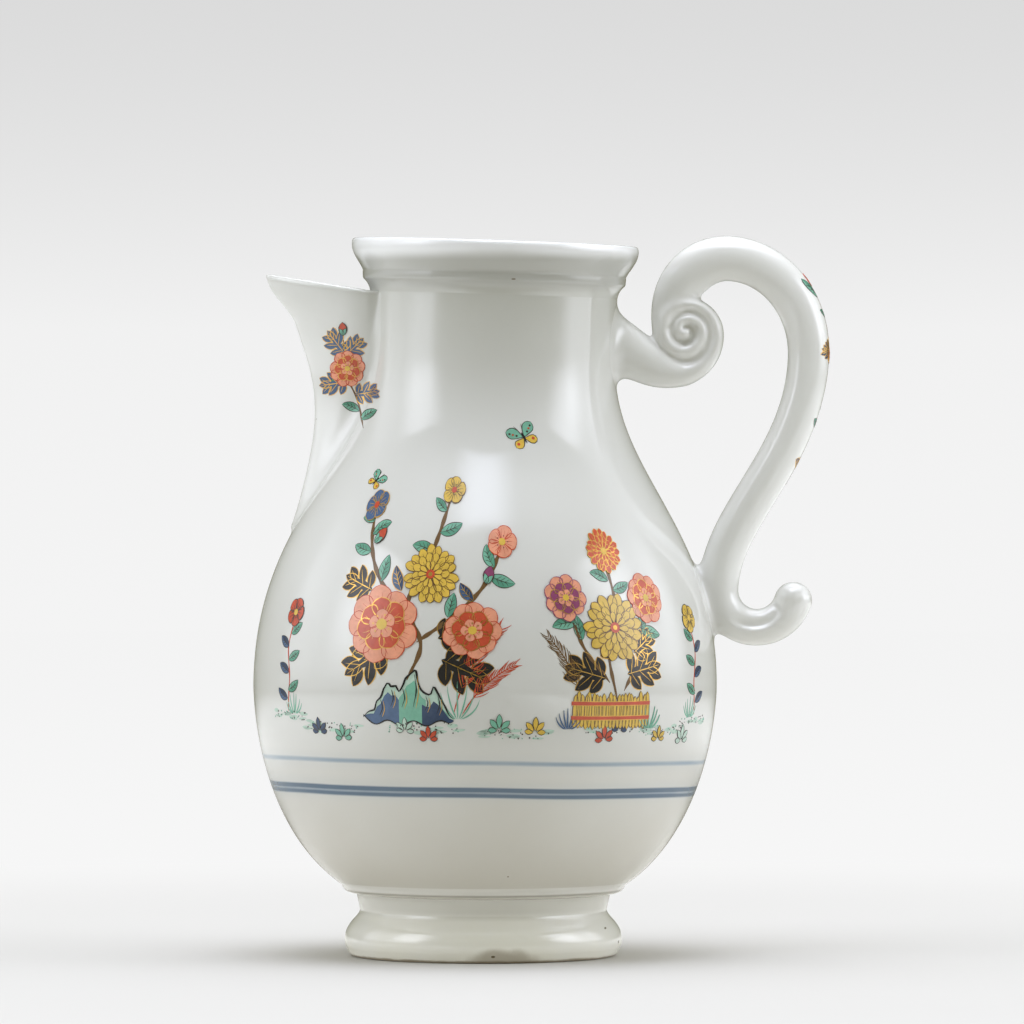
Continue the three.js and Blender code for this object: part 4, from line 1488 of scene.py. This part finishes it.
def table_material(room):
    """A pale table: plain to the camera where the jug casts its shade, fading into the background further
    off; other rays see painted light and shade on it.
    """
    material = bpy.data.materials.new("pale_table")
    start = new_tree(material)
    x, y = axes_of(start.add("ShaderNodeTexCoord", None, None, "Object"))[:2]
    far = from_axis(x, y)
    painted_pool, painted_bright_sides, seen, mirrored = (70.0, 240.0), (80.0, 260.0), (110.0, 420.0), (450.0, 1300.0)
    eye = start.add("ShaderNodeLightPath", None, None, "Is Camera Ray")
    gloss = start.add("ShaderNodeLightPath", None, None, "Is Glossy Ray")
    # To rays other than the camera's the table's colour is painted light and shade: a bright pool round the
    # jug, dark further off, bright at the sides
    cloth = far.rise(*painted_pool).between((0.78, 0.76, 0.70), (0.20, 0.19, 0.145))
    cloth = cloth.mix((0.96, 0.955, 0.92), x.math("ABSOLUTE").rise(*painted_bright_sides))
    cloth = cloth.mix((0.645, 0.631, 0.60), eye)
    lit = start.add("ShaderNodeBsdfDiffuse", None, {"Color": cloth})
    pale = y.rise(-400.0, 2600.0).between((0.93, 0.93, 0.93), (0.90, 0.90, 0.90))
    glow = start.add("ShaderNodeEmission", None, {"Color": pale.mix(room, gloss)})
    share = far.rise(*seen) * eye + far.rise(*mirrored) * gloss
    mixed = start.add("ShaderNodeMixShader", None, {0: share, 1: lit, 2: glow})
    start.add("ShaderNodeOutputMaterial", None, {0: mixed})
    return material


class JUG_OT_stage(bpy.types.Operator):
    """Sets the camera, the table, the background and the soft boxes"""

    bl_idname = "jug.stage"
    bl_label = "Stage"

    def execute(self, context):
        scene, studio = context.scene, context.scene.jug_studio
        scene.view_settings.view_transform = "Standard"
        self.camera(scene, studio)
        self.table(studio)
        self.background(scene, studio)
        self.boxes(studio)
        return {"FINISHED"}

    def camera(self, scene, studio):
        eye = bpy.data.cameras.new("camera")
        eye.sensor_width, eye.lens = 36, studio.focal
        eye.clip_start, eye.clip_end = 0.1, 20
        place = (studio.aim_side, -studio.camera_distance, studio.camera_height)
        scene.camera = aimed("camera", eye, place, (studio.aim_side, 0, studio.aim_height))

    def table(self, studio):
        around, reaches = 96, (0.2, 0.6, 1.4, 2.8)
        angle = np.linspace(0, 2 * np.pi, around, endpoint=False)
        points, faces = [(0, 0, 0)], []
        for reach in reaches:
            points.extend((reach * math.cos(a), reach * math.sin(a), 0) for a in angle)
        for i in range(around):
            j = (i + 1) % around
            faces.append((0, 1 + i, 1 + j))
            for ring in range(len(reaches) - 1):
                a, b = 1 + ring * around, 1 + (ring + 1) * around
                faces.append((a + i, b + i, b + j, a + j))
        new_piece("table", points, faces, table_material(room_tone(studio)))

    def background(self, scene, studio):
        scene.world = bpy.data.worlds.new("room")
        start = new_tree(scene.world)
        where = start.add("ShaderNodeTexCoord", None, None, "Generated")
        up = start.add("ShaderNodeSeparateXYZ", None, {"Vector": where}, 2)
        stops = [(0.0, (0.905, 0.905, 0.905)), (0.45, (0.88, 0.88, 0.88)), (1.0, (0.70, 0.70, 0.70))]
        wall = start.add("ShaderNodeValToRGB", {"stops": stops}, {"Fac": up.rise(-0.035, 0.055)})
        seen = start.add("ShaderNodeBackground", None, {"Color": wall})
        room = start.add("ShaderNodeBackground", None, {"Color": room_tone(studio)})
        eye = start.add("ShaderNodeLightPath", None, None, "Is Camera Ray")
        mixed = start.add("ShaderNodeMixShader", None, {0: eye, 1: room, 2: seen})
        start.add("ShaderNodeOutputWorld", None, {0: mixed})

    def boxes(self, studio):
        side, top, cool, blue = studio.side_level, studio.top_level, (0.88, 0.905, 1.0), (0.80, 0.84, 1.0)
        wide, low, even = (0.18, 0.18, 0.6), (0.42, 0.4, 0.08), (0.45, 0.45, 0.45)
        for box in (
            ("left_box", (-1.0, -0.08, 0.5), (0, -0.08, 0.5), (1.4, 1.04), side * 0.31, cool, wide),
            ("right_box", (1.0, 0.06, 0.5), (0, 0.06, 0.5), (1.16, 1.04), side * 0.6, cool, (0.3, 0.18, 0.6)),
            ("front_left", (-0.9, -0.4, 0.46), (0, 0, 0.3), (0.9, 0.86), side * 0.72, cool, low),
            ("front_right", (0.97, -0.29, 0.46), (0, 0, 0.3), (0.86, 0.86), side * 0.73, cool, low),
            ("ceiling", (0, 0.2, 1.3), (0, 0.2, 0), (2.3, 2.3), top * 1.04, cool, even),
            ("top_box", (-0.06, -0.38, 1.25), (-0.06, -0.38, 0), (1, 1), top * 0.9, blue, (0.45, 0.1, 0.4)),
        ):
            light(*box)


# Panel and start

class JUG_PT_panel(bpy.types.Panel):
    """Sizes, colours and steps of the jug"""

    bl_label = "Milk Jug"
    bl_idname = "JUG_PT_panel"
    bl_space_type = "VIEW_3D"
    bl_region_type = "UI"
    bl_category = "Milk Jug"

    def draw(self, context):
        for group in (context.scene.jug_sizes, context.scene.jug_colours, context.scene.jug_studio):
            for name in fields(group):
                self.layout.prop(group, name)
        for operator in OPERATORS:
            self.layout.operator(operator.bl_idname)


OPERATORS = (
    JUG_OT_stage, JUG_OT_body, JUG_OT_lip, JUG_OT_foot,
    JUG_OT_spout, JUG_OT_handle, JUG_OT_painting, JUG_OT_sprays,
)
GROUPS = {"jug_sizes": JugSizes, "jug_colours": JugColours, "jug_studio": JugStudio}


def register():
    for kind in (*GROUPS.values(), *OPERATORS, JUG_PT_panel):
        bpy.utils.register_class(kind)
    for name, kind in GROUPS.items():
        setattr(bpy.types.Scene, name, PointerProperty(type=kind))


def unregister():
    for name in GROUPS:
        delattr(bpy.types.Scene, name)
    for kind in reversed((*GROUPS.values(), *OPERATORS, JUG_PT_panel)):
        bpy.utils.unregister_class(kind)


def main():
    register()
    bpy.ops.jug.stage()
    bpy.ops.jug.body()
    bpy.ops.jug.lip()
    bpy.ops.jug.foot()
    bpy.ops.jug.spout()
    bpy.ops.jug.handle()
    bpy.ops.jug.painting()
    bpy.ops.jug.sprays()


if __name__ == "__main__":
    main()
